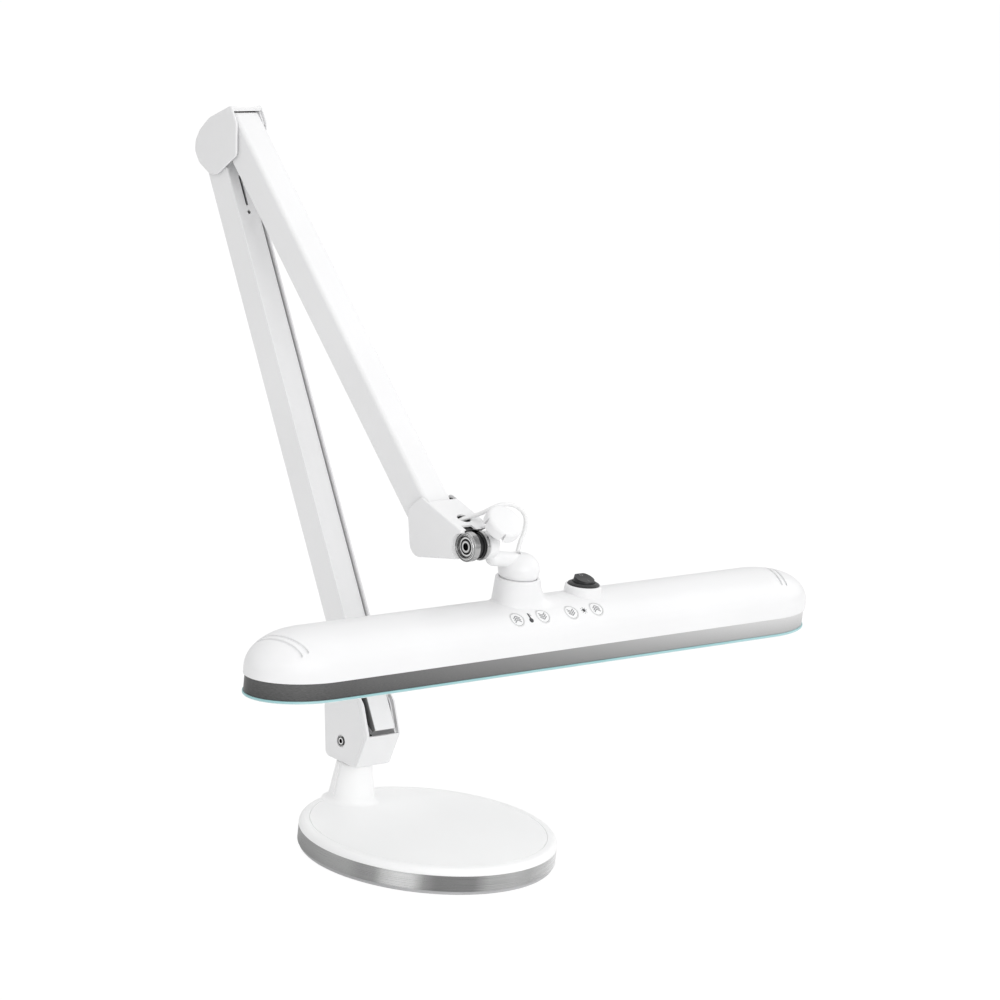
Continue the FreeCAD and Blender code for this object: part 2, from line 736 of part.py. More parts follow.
def arm_parts():
    arm("lower", lower_length, inner_tail, lower_lean, lower_half_range, lower_pivot,
        lower_inner_pivot, cable_opening(lower_length))
    arm("upper", upper_length, channel_end, upper_lean, upper_half_range, elbow_upper,
        elbow_upper_inner)


def pivot_pins(name, pivots, half):
    """Flat-headed steel pins through the plates on both sides."""
    pins = []
    for pivot in pivots:
        pin = cross_pin(pivot, pivot_pin_radius, -half, half)
        pins.append(pin)
    save(name, Part.makeCompound(pins))


def elbow_outline():
    """Shield-shaped cheek round the four elbow pivots."""
    return moved([(27.3, 44.0), (36.0, 31.8), (38.9, 7.9), (16.4, -11.0), (7.2, -11.0),
                  (-5.4, -5.2), (-11.9, 3.2), (-11.9, 11.2), (-7.9, 20.0), (2.0, 30.4)],
                 elbow_lower)


elbow_radii = [3.0, 9.0, 4.0, 10.0, 12.0, 12.0, 8.0, 9.0, 14.0, 18.0]


def elbow_parts():
    """Two steel plates, four pins and the plastic cover with its bridged back."""
    outline = elbow_outline()
    inner = channel_half_width + slip
    outer = inner + elbow_plate
    pivots = (elbow_lower, elbow_lower_inner, elbow_upper, elbow_upper_inner)
    h = elbow_half_width
    cheek_in = h - elbow_wall
    back = outline[6:] + outline[:1]
    runs = [(back[i], back[i + 1]) for i in range(len(back) - 1)]
    plates = []
    for side in (-1, 1):
        x0, x1 = sorted((side * inner, side * outer))
        plate = shrunk(outline, elbow_radii, elbow_margin, x0, x1)
        for start, end in runs:
            plate = plate.cut(waist(start, end, cheek_in, elbow_waist, elbow_wall + seat_gap))
        for pivot in pivots:
            plate = plate.cut(cross_pin(pivot, pivot_pin_radius + running_fit, -20, 20))
        plates.append(plate)
    save("elbow_plates", Part.makeCompound(plates))
    pivot_pins("elbow_pins", pivots, outer + 0.05)
    cover = side_prism(outline, elbow_radii, -h, h)
    cover = cover.makeFillet(elbow_edge, face_edges(cover, h))
    hollow = shrunk(outline, elbow_radii, elbow_wall, -cheek_in, cheek_in)
    for start, end in runs:
        cover = cover.cut(waist(start, end, cheek_in, elbow_waist, 0.0))
        hollow = hollow.cut(waist(start, end, cheek_in, elbow_waist, elbow_wall))
    mouth = side_prism(moved([(-6.0, -30.0), (60.0, -30.0), (60.0, 50.0), (28.8, 50.0),
                              (28.8, 39.6), (18.0, 34.0), (-16.0, 5.0), (-16.0, -30.0)],
                             elbow_lower), 0, -cheek_in, cheek_in)
    save("elbow_cover", cover.cut(hollow).cut(mouth).removeSplitter())


def waist(start, end, half, dip, wall):
    """Big cylinder along an outline run that hollows the wall between the cheeks."""
    radius = (half * half + dip * dip) / (2 * dip)
    run = at(0, *end).sub(at(0, *start))
    side = Vector(run).cross(X_AXIS).normalize()
    if side.dot(at(0, *start).sub(at(0, *elbow_upper))) < 0:
        side = side.multiply(-1)
    centre = at(0, *start).sub(Vector(run)).add(Vector(side).multiply(radius - dip))
    return Part.makeCylinder(radius + wall, 3 * run.Length, centre, run)


def head_bracket_outline():
    """Cheek of the head bracket: round behind, one gentle slope on top, open nose."""
    return moved([(-23.5, 3.0), (-15.6, -30.4), (35.6, -19.4), lid_nose, lid_rear], head_pivot)


def lid_fall():
    """How much the head bracket's top drops per millimetre forward."""
    return (lid_rear[1] - lid_nose[1]) / (lid_nose[0] - lid_rear[0])


def lid_z(f):
    """Height of the head bracket's sloping top at distance f in front of the pivot."""
    return lid_rear[1] - (f - lid_rear[0]) * lid_fall()


def head_bracket_parts():
    """Steel fork with the knuckle tongue, its cover and the black nose plug."""
    outline = head_bracket_outline()
    radii = [9.0, 10.0, 4.0, 1.4, 5.0]
    inner = channel_half_width + slip
    outer = inner + elbow_plate
    h = elbow_half_width
    cheek_in = h - elbow_wall
    pivots = (head_pivot, head_inner_pivot)
    nose = head_pivot[0] + fork_front
    low = head_pivot[1] - 60
    high = head_pivot[1] + 60
    fork = shrunk(outline, radii, elbow_margin, -outer, outer)
    fork = fork.common(side_prism([(nose - 60, low), (nose, low), (nose, high), (nose - 60, high)],
                                  0, -outer, outer))
    back = nose - elbow_plate
    fork = fork.cut(side_prism([(nose - 60, low), (back, low), (back, high), (nose - 60, high)],
                               0, -inner, inner))
    reach = 8.6
    tongue = side_prism([(nose - 0.5, tilt_axis[1] - reach), (tilt_axis[0] + reach, tilt_axis[1] - reach),
                         (tilt_axis[0] + reach, tilt_axis[1] + reach),
                         (nose - 0.5, tilt_axis[1] + reach)], [0, reach - 0.3, reach - 0.3, 0],
                        tongue_low, tongue_high)
    fork = fork.fuse(tongue)
    fork = fork.cut(cross_pin(tilt_axis, bolt_radius + 0.1, -8, 8))
    for pivot in pivots:
        fork = fork.cut(cross_pin(pivot, pivot_pin_radius + running_fit, -20, 20))
    start = at(*cord_start)
    fork = fork.cut(Part.makeCylinder(cord_radius + 2.2, 40, start.add(Vector(0, 20, 0)),
                                      Vector(0, -1, 0)))
    save("head_bracket_fork", fork.removeSplitter())
    pivot_pins("head_bracket_pins", pivots, outer + 0.05)

    cover = side_prism(outline, radii, -h, h)
    cover = cover.makeFillet(elbow_edge, face_edges(cover, h))
    form = cover.copy()
    cover = cover.cut(shrunk(outline, radii, elbow_wall, -cheek_in, cheek_in))
    open_top = moved([(-60.0, -60.0), (8.0, -60.0), (12.0, -27.0), (12.0, -10.0), (lid_back, 4.0),
                      (lid_back, 40.0), (-60.0, 40.0)], head_pivot)
    cover = cover.cut(side_prism(open_top, 0, -cheek_in, cheek_in))
    front = moved([(28.0, -17.4), (50.0, -17.4), (50.0, 0.6), (28.0, 0.6)], head_pivot)
    cover = cover.cut(side_prism(front, 0, -cheek_in, cheek_in))
    collar = cross_pin(tilt_axis, nose_window + nose_wall, -h, barrel_front - seat_gap)
    cover = cover.fuse(collar.common(form))
    cover = cover.cut(cross_pin(tilt_axis, nose_window, -h - 1, 0))
    cover = cover.cut(cross_pin(tilt_axis, barrel_radius + nose_clearance,
                                barrel_front - seat_gap, h + 1))
    sweep = neck_arm_drop + neck_arm_radius + nose_clearance
    cover = cover.cut(cross_pin(tilt_axis, sweep, neck_arm_start - neck_arm_radius - 0.7, h + 1))
    notch = moved([(lid_front, -6.0), (60.0, -6.0), (60.0, 20.0), (lid_front, 20.0)], head_pivot)
    cover = cover.cut(side_prism(notch, 0, *lid_notch))
    lug_side = moved([(33.8, -6.0), (60.0, -6.0), (60.0, 20.0), (33.8, 20.0)], head_pivot)
    cover = cover.cut(side_prism(lug_side, 0, lug_low - 0.5, h + 1))
    cover = cover.cut(cable_bore())
    save("head_bracket_cover", cover.removeSplitter())
    plug = side_prism(moved([(25.6, -20.0), (40.0, -16.0), (40.0, -1.6), (25.6, 2.6)], head_pivot),
                      1.0, barrel_front, neck_arm_start - neck_arm_radius - 1.2)
    slot = side_prism(moved([(10.0, -19.6), (45.0, -19.6), (45.0, -0.8), (10.0, -0.8)], head_pivot),
                      0, tongue_low - 0.15, tongue_high + 0.15)
    plug = plug.cut(slot).cut(cross_pin(tilt_axis, barrel_radius + 0.4, -20, 20))
    save("nose_plug", plug)


def cable_bore():
    """Hole in the sloping top of the head bracket where the cord comes out."""
    foot = at(0, head_pivot[0] + cable_hole_f, head_pivot[1] + lid_z(cable_hole_f) - 4.0)
    slope = math.atan(lid_fall())
    normal = Vector(0, -math.sin(slope), math.cos(slope))
    return Part.makeCylinder(cable_hole_radius, 8.0, foot, normal)


def ring_profile(points, direction):
    """Turned piece on the tilt axis from (radius, x) points."""
    return turned([(r, x) for r, x in points], at(0, tilt_axis[0], tilt_axis[1]), direction)


def knuckle_parts():
    """Chrome barrel halves, the socket bolt with its nut, and the friction rings."""
    r = barrel_radius
    head_r = 5.2
    f = barrel_front
    seat = ring_thickness + 0.1
    front = ring_profile([
        (bolt_radius + 0.1, f + 3.4), (head_r + 0.2, f + 3.4), (head_r + 0.2, f + 1.2),
        (7.0, f + 1.2), (7.6, f + 0.2), (8.6, f + 0.2), (9.0, f + 0.9), (9.6, f + 0.9),
        (10.1, f), (r, f + 0.8), (r, tongue_low - seat - 0.6), (r - 0.6, tongue_low - seat),
        (bolt_radius + 0.1, tongue_low - seat)], X_AXIS)
    save("barrel_front", front)
    b = barrel_back
    mid = (lug_low + lug_high) / 2
    end = b + spigot_length
    save("barrel_rear", ring_profile([
        (bolt_radius + 0.1, tongue_high + seat), (r - 0.6, tongue_high + seat),
        (r, tongue_high + seat + 0.6), (r, b - 1.2), (r - 1.2, b), (spigot_radius, b),
        (spigot_radius, mid - 2.7), (spigot_radius - spigot_groove, mid - 2.4),
        (spigot_radius - spigot_groove, mid + 2.4), (spigot_radius, mid + 2.7),
        (spigot_radius, end - 0.5), (spigot_radius - 0.5, end), (bolt_radius + 0.1, end)], X_AXIS))
    rings = []
    t = ring_thickness + 0.05
    for x0, x1 in ((tongue_low - t, tongue_low - 0.05), (tongue_high + 0.05, tongue_high + t)):
        rings.append(ring_profile([(bolt_radius + 0.2, x0), (ring_radius, x0), (ring_radius, x1),
                                   (bolt_radius + 0.2, x1)], X_AXIS))
    save("friction_rings", Part.makeCompound(rings))
    bolt = ring_profile([(0, f + 3.3), (0, f + 0.9), (head_r - 0.6, f + 0.9), (head_r, f + 1.5),
                         (head_r, f + 3.3), (bolt_radius, f + 3.3), (bolt_radius, end - 1.0),
                         (bolt_radius - 0.5, end - 0.5), (0, end - 0.5)], X_AXIS)
    socket = hexagon(5.0, 2.0, at(f + 0.8, tilt_axis[0], tilt_axis[1]), X_AXIS)
    save("knuckle_bolt", bolt.cut(socket))


def knob_direction():
    lean = math.radians(knob_lean)
    return Vector(0, -math.sin(lean), math.cos(lean))


def knob_parts():
    """Lobed clamping knob on its screw, pointing up and forward from the lug."""
    mid = (lug_low + lug_high) / 2
    origin = at(mid, tilt_axis[0], tilt_axis[1])
    d0 = knob_inner
    d1 = knob_inner + knob_height
    stud_r = 2.5
    knob = Part.makeCylinder(knob_radius, knob_height, Vector(0, 0, d0))
    knob = knob.common(Part.makeSphere(knob_dome_radius, Vector(0, 0, d1 - knob_dome_radius)))
    rim = [e for e in knob.Edges if e.BoundBox.ZMin > d1 - 2.5 and e.BoundBox.ZLength < 0.01]
    knob = knob.makeFillet(knob_face_edge, rim)
    back = [e for e in knob.Edges if e.BoundBox.ZMax < d0 + 0.1]
    knob = knob.makeFillet(knob_back_edge, back)
    for i in range(knob_lobes):
        turn = math.radians(knob_first_bite + 360.0 * i / knob_lobes)
        out = Vector(math.cos(turn), math.sin(turn), 0)
        deep = Vector(out).multiply(knob_radius + knob_bite_radius / 2 - knob_bite_depth)
        shallow = Vector(out).multiply(knob_radius + 0.2)
        foot = deep.add(Vector(0, 0, d0 - 1.0))
        run = shallow.add(Vector(0, 0, d1 - 2.2)).sub(foot)
        knob = knob.cut(Part.makeCone(knob_bite_radius, 0.5, run.Length, foot, run))
    knob = knob.fuse(Part.makeCone(5.2, 5.8, 4.0, Vector(0, 0, d0 - 2.6)))
    tip = spigot_radius - spigot_groove + slip
    stud = Part.makeCylinder(stud_r, d0 + 2.0 - tip, Vector(0, 0, tip))
    knob = knob.cut(Part.makeCylinder(stud_r, d0 + 2.0, Vector(0, 0, 0)))
    for piece in (knob, stud):
        piece.Placement = FreeCAD.Placement(origin, Rotation(Z_AXIS, knob_direction()))
    save("tension_knob", knob)
    save("knob_stud", stud)
    bore = Part.makeCylinder(stud_r + running_fit, 30, origin, knob_direction())
    return bore


def elbow_profile(points, x):
    """Turned piece on the upright swivel axis from (radius, z) points."""
    return turned(points, at(x, head_f, 0))


def swivel_elbow(stud_bore):
    """Lug, short arm and flattened ball that carry the head."""
    axis_f, axis_z = tilt_axis
    arm_z = axis_z - neck_arm_drop
    b = neck_arm_radius
    lug = cross_pin(tilt_axis, lug_radius, lug_low, lug_high)
    lug = lug.makeFillet(1.2, lug.Edges)
    end = at(neck_arm_start, axis_f, arm_z)
    ball_side = at(swivel_offset, axis_f, arm_z - neck_arm_fall)
    reach = ball_side.sub(end)
    arm = Part.makeCylinder(b, reach.Length, end, reach)
    arm = arm.fuse(Part.makeSphere(b, end))
    root = at(lug_high - 3.4, axis_f, axis_z - 3.0)
    rise = end.sub(root)
    arm = arm.fuse(Part.makeCylinder(b - 1.2, rise.Length, root, rise))
    z0 = collar_z
    z1 = collar_z + ball_height
    r = ball_radius
    ball = Part.Wire([
        Part.makeLine(Vector(0, 0, z0), Vector(ball_foot, 0, z0)),
        Part.Arc(Vector(ball_foot, 0, z0), Vector(r - 0.5, 0, z0 + ball_height * 0.22),
                 Vector(r - 0.3, 0, z0 + ball_height * 0.5)).toShape(),
        Part.Arc(Vector(r - 0.3, 0, z0 + ball_height * 0.5), Vector(r * 0.72, 0, z0 + ball_height * 0.86),
                 Vector(0, 0, z1)).toShape(),
        Part.makeLine(Vector(0, 0, z1), Vector(0, 0, z0)),
    ])
    ball = place_turned(ball, at(swivel_offset, head_f, 0), Z_AXIS)
    body = lug.fuse(arm).fuse(ball)
    bore_end = barrel_back + spigot_length + seat_gap
    body = body.cut(cross_pin(tilt_axis, spigot_radius + running_fit, 0, bore_end))
    body = body.cut(stud_bore)
    body = body.cut(rod((swivel_offset, head_f), swivel_tube_radius + running_fit, z0 - 1, z0 + 9.0))
    body = body.cut(rod((swivel_offset, head_f), swivel_tube_bore, z0, z0 + 12.0))
    body = body.cut(rod((cord_points[-1][0], head_f), cord_radius + 0.9, z0 + 10.5, z1 + 5))
    save("swivel_elbow", body.removeSplitter())
    low = crown_z - shell_wall - 9.0
    tube = rod((swivel_offset, head_f), swivel_tube_radius, low, z0 + 8.8)
    tube = tube.cut(rod((swivel_offset, head_f), swivel_tube_bore, low - 1, z0 + 9))
    save("swivel_tube", tube)
    nut_z = crown_z - shell_wall - 2.6 - 3.4
    nut = hexagon(16.0, 3.4, at(swivel_offset, head_f, nut_z))
    washer = rod((swivel_offset, head_f), 10.5, nut_z + 3.4, nut_z + 4.6)
    nut = nut.fuse(washer).cut(rod((swivel_offset, head_f), swivel_tube_radius + running_fit,
                                   nut_z - 1, nut_z + 8))
    save("swivel_nut", nut.removeSplitter())


def arch(half_width, height, crown, shoulder, base_z):
    """Right half of the head's cross section above base_z, as edges in the XZ plane."""
    top_centre = height - crown
    reach = crown - shoulder
    side = half_width - shoulder
    rise = math.sqrt(reach * reach - side * side)
    turn = math.atan2(side, rise)
    mid_top = Vector(crown * math.sin(turn / 2), 0, base_z + top_centre + crown * math.cos(turn / 2))
    meet = Vector(crown * math.sin(turn), 0, base_z + top_centre + crown * math.cos(turn))
    bend = (turn + math.pi / 2) / 2
    cz = base_z + top_centre + rise
    mid = Vector(side + shoulder * math.sin(bend), 0, cz + shoulder * math.cos(bend))
    spring = Vector(half_width, 0, cz)
    return [
        Part.makeLine(Vector(0, 0, base_z), Vector(half_width, 0, base_z)),
        Part.makeLine(Vector(half_width, 0, base_z), spring),
        Part.Arc(spring, mid, meet).toShape(),
        Part.Arc(meet, mid_top, Vector(0, 0, base_z + height)).toShape(),
    ]


def head_form(inset, low):
    """Solid of the whole head form drawn in by inset, its flat underside at low."""
    w = head_half_width - inset
    end = head_end_length - inset
    run = head_half_length - head_end_length
    drop = rim_z - low
    edges = arch(w, shell_height - inset + drop, crown_radius - inset,
                 max(shoulder_radius - inset, 1.0), low)
    half = Part.Wire(edges + [Part.makeLine(Vector(0, 0, crown_z - inset), Vector(0, 0, low))])
    half_face = Part.Face(half)
    middle = half_face.extrude(Vector(0, 2 * run, 0))
    middle.rotate(Vector(0, 0, 0), Z_AXIS, -90)
    middle.translate(Vector(-run, 0, 0))
    middle = middle.fuse(middle.mirror(Vector(0, 0, 0), Vector(0, 1, 0))).removeSplitter()
    cap = half_face.revolve(Vector(0, 0, 0), Z_AXIS, 180)
    cap.rotate(Vector(0, 0, 0), Z_AXIS, -90)
    stretch = Matrix()
    stretch.A11 = end / w
    cap = cap.transformGeometry(stretch)
    right = cap.copy()
    right.translate(Vector(run, 0, 0))
    left = cap.mirror(Vector(0, 0, 0), X_AXIS)
    left.translate(Vector(-run, 0, 0))
    form = middle.fuse(right).fuse(left)
    form.translate(at(head_centre_x, head_f, 0))
    return form


def plan_wire(inset, z):
    """Plan outline of the head, straight sides and elliptical ends, at height z."""
    w = head_half_width - inset
    end = head_end_length - inset
    run = head_half_length - head_end_length
    centre = at(head_centre_x, head_f, z)
    right = Part.Arc(Part.Ellipse(centre.add(Vector(run, 0, 0)), end, w), -math.pi / 2, math.pi / 2)
    left = Part.Arc(Part.Ellipse(centre.sub(Vector(run, 0, 0)), end, w), math.pi / 2, 1.5 * math.pi)
    back = Part.makeLine(centre.add(Vector(run, w, 0)), centre.add(Vector(-run, w, 0)))
    front = Part.makeLine(centre.add(Vector(-run, -w, 0)), centre.add(Vector(run, -w, 0)))
    return Part.Wire([right.toShape(), back, left.toShape(), front])


def plan_solid(inset, z0, z1):
    """Flat slab with the head's plan outline."""
    return Part.Face(plan_wire(inset, z0)).extrude(Vector(0, 0, z1 - z0))


def shoulder_centre():
    """Offset and height of the centre of the shell's shoulder arc."""
    side = head_half_width - shoulder_radius
    reach = crown_radius - shoulder_radius
    return side, crown_z - crown_radius + math.sqrt(reach ** 2 - side ** 2)


def on_crown(offset):
    """True where the shell is still on its crown arc, not yet on its shoulder."""
    reach = crown_radius - shoulder_radius
    return offset * reach <= (head_half_width - shoulder_radius) * crown_radius


def surface_slope(offset):
    """Slope in degrees of the shell at a distance in front of its crown line."""
    if on_crown(offset):
        return math.degrees(math.asin(offset / crown_radius))
    return math.degrees(math.asin((offset - shoulder_centre()[0]) / shoulder_radius))


def surface_z(offset):
    """Height of the shell at a distance in front of its crown line."""
    if on_crown(offset):
        return crown_z - crown_radius + math.sqrt(crown_radius ** 2 - offset ** 2)
    side, height = shoulder_centre()
    return height + math.sqrt(shoulder_radius ** 2 - (offset - side) ** 2)


def button_frame(x):
    """Placement on the shell's front slope: local Z points out of the shell."""
    slope = surface_slope(button_offset)
    point = at(x, head_f + button_offset, surface_z(button_offset))
    return FreeCAD.Placement(point, Rotation(X_AXIS, slope))


def collar_boss():
    """Leaning cone under the swivel, its foot set further along the head than its top."""
    sunk = 12.0
    share = (boss_height + sunk) / boss_height
    top = Part.Wire([Part.makeCircle(boss_top_radius, at(swivel_offset, head_f,
                                                         crown_z + boss_height))])
    foot_x = swivel_offset + boss_foot_shift * share
    foot_radius = boss_top_radius + (boss_foot_radius - boss_top_radius) * share
    foot = Part.Wire([Part.makeCircle(foot_radius, at(foot_x, head_f, crown_z - sunk))])
    boss = Part.makeLoft([foot, top], True, True)
    rim = [e for e in boss.Edges
           if e.BoundBox.ZMin > crown_z + boss_height - 0.1 and e.BoundBox.ZLength < 0.01]
    return boss.makeFillet(1.0, rim)


def on_boss_seam(edge):
    """True for edges where the collar boss meets the shell."""
    box = edge.BoundBox
    centre = at(swivel_offset + boss_foot_shift, head_f, 0)
    reach = boss_foot_radius + 4.0
    if box.ZMax > crown_z + 1.0 or box.ZMin < crown_z - 11.0:
        return False
    return (box.XMin > centre.x - reach and box.XMax < centre.x + reach
            and box.YMin > centre.y - reach and box.YMax < centre.y + reach)


def head_shell():
    """Moulded shell with the collar boss, switch boss, button holes and end vents."""
    outer = head_form(0.0, rim_z)
    outer = outer.fuse(collar_boss())
    outer = outer.makeFillet(boss_blend, [e for e in outer.Edges if on_boss_seam(e)])
    switch_boss = turned([(0, crown_z - 8), (rocker_boss_radius + 1.2, crown_z - 8),
                          (rocker_boss_radius, crown_z + rocker_boss_height - 0.8),
                          (rocker_boss_radius - 0.8, crown_z + rocker_boss_height),
                          (0, crown_z + rocker_boss_height)], at(rocker_x, head_f, 0))
    outer = outer.fuse(switch_boss)
    hollow = head_form(shell_wall, rim_z - 1)
    shell = outer.cut(hollow)
    spot = (swivel_offset, head_f)
    top = crown_z + boss_height
    shell = shell.fuse(rod(spot, 12.0, crown_z - shell_wall - 1.2, crown_z - shell_wall + 1))
    shell = shell.cut(rod(spot, boss_recess_radius, top - boss_recess, top + 1))
    shell = shell.cut(rod(spot, swivel_tube_radius + 2.6, crown_z - 8, top))
    shell = shell.cut(rod((rocker_x, head_f), 10.0 + slip, crown_z - 20, crown_z + 20))
    for x in button_places:
        hole = Part.makeCylinder(button_radius + button_gap, 12, Vector(0, 0, -8))
        hole.Placement = button_frame(x).multiply(hole.Placement)
        shell = shell.cut(hole)
    floor = head_form(vent_depth, rim_z)
    for side, places in ((-1, vents_left), (1, vents_right)):
        for place in places:
            shell = shell.cut(vent_slot(side, place).cut(floor))
    skin = head_form(shell_wall / 2, rim_z)
    for x, y in screw_bosses():
        base = Vector(x, y, ledge_top + heat_plate_thickness + slip)
        post = Part.makeCylinder(boss_radius, crown_z - base.z, base).common(skin)
        shell = shell.fuse(post)
        shell = shell.cut(Part.makeCylinder(1.5 + running_fit, 9.0, base))
    return shell.removeSplitter()


def vent_slot(side, place):
    """Straight slot with round ends over one end of the shell, its front end inward."""
    box = Part.makeBox(vent_width, 2 * vent_reach, 40, Vector(-vent_width / 2, -vent_reach, 0))
    for y in (-vent_reach, vent_reach):
        box = box.fuse(Part.makeCylinder(vent_width / 2, 40, Vector(0, y, 0)))
    box.rotate(Vector(0, 0, 0), Z_AXIS, -side * vent_slant)
    box.translate(at(head_centre_x + side * place, head_f + vent_shift, rim_z + 8.0))
    return box.removeSplitter()


def screw_bosses():
    """Places of the screws that hold the heat plate, three on each side."""
    places = []
    for f in (-1, 1):
        for dx in screw_places:
            centre = at(head_centre_x + dx, head_f, 0)
            places.append((centre.x, centre.y + f * (head_half_width - screw_edge)))
    return places


def head_parts():
    """Shell, bush, frame, diffuser, heat plate, LED board, driver and screws."""
    save("head_shell", head_shell())
    top = crown_z + boss_height - boss_recess
    outer_r = swivel_tube_radius + 2.6 - running_fit
    inner_r = swivel_tube_radius + running_fit
    save("neck_bush", elbow_profile([
        (inner_r, crown_z - shell_wall - 1.2), (outer_r, crown_z - shell_wall - 1.2),
        (outer_r, top), (12.6, top), (12.6, top + 0.2), (inner_r, top + 0.2)], swivel_offset))

    frame = plan_solid(frame_inset, frame_bottom, rim_z)
    frame = frame.fuse(plan_solid(shell_wall + slip, rim_z, rim_z + 2.5))
    inner = frame_inset + frame_wall
    frame = frame.cut(plan_solid(inner + 0.6, frame_bottom - 1, rim_z + 4))
    frame = frame.fuse(plan_solid(inner, ledge_top - 2.0, ledge_top).cut(
        plan_solid(inner + ledge_width, ledge_top - 3.0, ledge_top + 1)))
    save("light_frame", frame.removeSplitter())

    lens_top = frame_bottom
    lens = plan_solid(diffuser_inset, lens_top - diffuser_height, lens_top)
    low_edges = [e for e in lens.Edges if e.BoundBox.ZMax < lens_top - diffuser_height + 0.1]
    lens = lens.makeChamfer(0.8, low_edges)
    tray = plan_solid(inner + 0.6 + slip, lens_top, lens_top + 2.0)
    tray = tray.cut(plan_solid(inner + 2.6, lens_top - 1, lens_top + 3))
    save("diffuser", lens.fuse(tray).removeSplitter())

    plate_low = ledge_top
    plate = plan_solid(inner + 0.6 + slip, plate_low, plate_low + heat_plate_thickness)
    board_low = plate_low - board_thickness
    half_board = head_half_width - inner - ledge_width - 1.2
    run = head_half_length - head_end_length
    centre = at(head_centre_x, head_f, 0)
    board = Part.makeBox(2 * run, 2 * half_board, board_thickness,
                         Vector(centre.x - run, centre.y - half_board, board_low))
    chips = []
    count = int(2 * (run - led_pitch / 2) / led_pitch)
    for i in range(count):
        x = centre.x + (i - (count - 1) / 2.0) * led_pitch
        for row in range(led_rows):
            y = centre.y + (row - (led_rows - 1) / 2.0) * half_board
            chips.append(Part.makeBox(3.5, 2.8, 0.8, Vector(x - 1.75, y - 1.4, board_low - 0.8)))
    save("led_chips", Part.makeCompound(chips))
    screws = []
    for x, y in screw_bosses():
        board = board.cut(Part.makeCylinder(3.4, 9, Vector(x, y, plate_low - 4)))
        plate = plate.cut(Part.makeCylinder(1.7, 9, Vector(x, y, plate_low - 1)))
        head = Part.makeCylinder(2.8, 1.6, Vector(x, y, plate_low - 1.6))
        shank = Part.makeCylinder(1.5, heat_plate_thickness + 8.0, Vector(x, y, plate_low - 0.5))
        screws.append(head.fuse(shank).removeSplitter())
    save("led_board", board)
    save("heat_plate", plate)
    save("head_screws", Part.makeCompound(screws))
    driver_x = centre.x + run - driver_end_gap - driver_length
    driver = Part.makeBox(driver_length, driver_width, driver_height,
                          Vector(driver_x, centre.y - driver_width / 2,
                                 plate_low + heat_plate_thickness))
    driver = driver.makeFillet(2.0, [e for e in driver.Edges if e.BoundBox.ZLength > 10])
    save("led_driver", driver)


def controls():
    """Round rocker switch and four push buttons over their little board."""
    spot = (rocker_x, head_f)
    seat = crown_z + rocker_boss_height
    r = bezel_radius
    wall = rocker_cap_radius + 0.45
    body = elbow_profile([
        (wall, seat - 3.0), (wall, seat + 1.9), (r - 2.4, seat + 1.9), (r - 0.5, seat + 0.9),
        (r, seat + 0.05), (10.0, seat + 0.05), (10.0, seat - 17.0), (0, seat - 17.0),
        (0, seat - 9.0), (wall, seat - 9.0)], rocker_x)
    axle = Part.makeCylinder(1.2, 2 * wall + 1, at(rocker_x - wall - 0.5, head_f, seat - 0.3), X_AXIS)
    body = body.fuse(axle)
    save("switch_body", body.removeSplitter())
    base_z = seat + 1.9
    pivot_z = base_z - 2.2
    w = rocker_cap_radius
    profile = [(-w, -4.4), (-w, rocker_back), (0.8, rocker_middle), (w, rocker_front), (w, -4.4)]
    wire = rounded([at(rocker_x - 20, head_f + df, base_z + dz) for df, dz in profile],
                   [0, 2.4, 6.0, 1.0, 0])
    cap = Part.Face(wire).extrude(Vector(40, 0, 0))
    low = seat - 9.0
    round_cap = Part.makeCylinder(w, base_z - low, at(rocker_x, head_f, low))
    round_cap = round_cap.fuse(Part.makeCone(w, w - rocker_taper, 8.0, at(rocker_x, head_f, base_z)))
    cap = cap.common(round_cap)
    axle = Part.makeCylinder(1.2 + running_fit, 60, at(rocker_x - 30, head_f, pivot_z), X_AXIS)
    save("rocker", cap.cut(axle).removeSplitter())

    outer = head_form(0.0, rim_z)
    switches = []
    for i, x in enumerate(button_places):
        frame = button_frame(x)
        cap = Part.makeCylinder(button_radius, 12, Vector(0, 0, -button_depth))
        cap.Placement = frame.multiply(cap.Placement)
        cap = cap.common(outer)
        stem = Part.makeCylinder(1.6, 3.0, Vector(0, 0, -5.0))
        flange = Part.makeCylinder(button_radius + 0.9, 0.8, Vector(0, 0, -button_depth - 0.8))
        for piece in (stem, flange):
            piece.Placement = frame.multiply(piece.Placement)
        button = cap.fuse(flange).fuse(stem)
        save("button_%d" % (i + 1), button.removeSplitter())
        switch = Part.makeBox(6, 6, 2.6, Vector(-3, -3, -board_drop))
        plunger = Part.makeCylinder(1.7, 0.7, Vector(0, 0, -board_drop + 2.6))
        switch = switch.fuse(plunger)
        switch.Placement = frame.multiply(switch.Placement)
        switches.append(switch)
    save("key_switches", Part.makeCompound(switches))
    middle = (button_places[0] + button_places[-1]) / 2
    half = (button_places[-1] - button_places[0]) / 2 + 8.0
    board = Part.makeBox(2 * half, board_width, 1.4, Vector(-half, -board_width / 2, -board_drop - 1.4))
    board.Placement = button_frame(middle).multiply(board.Placement)
    save("control_board", board)


cord_start = (-7.6, head_pivot[0] + 17.6, head_pivot[1] + 0.2)
cord_points = [
    cord_start, (-2.6, 90.4, 256.6), (4.0, 93.4, 259.3), (9.4, 97.4, 261.8),
    (14.4, 100.8, 265.2), (20.0, 103.0, 268.4), (26.4, 104.6, 269.9), (33.0, 106.2, 269.2),
    (39.8, 107.8, 266.0), (44.6, 108.5, 260.6), (46.0, 108.5, 253.8), (44.6, 108.5, 247.0),
    (41.6, 108.5, 240.4), (40.6, 108.5, 234.6),
]


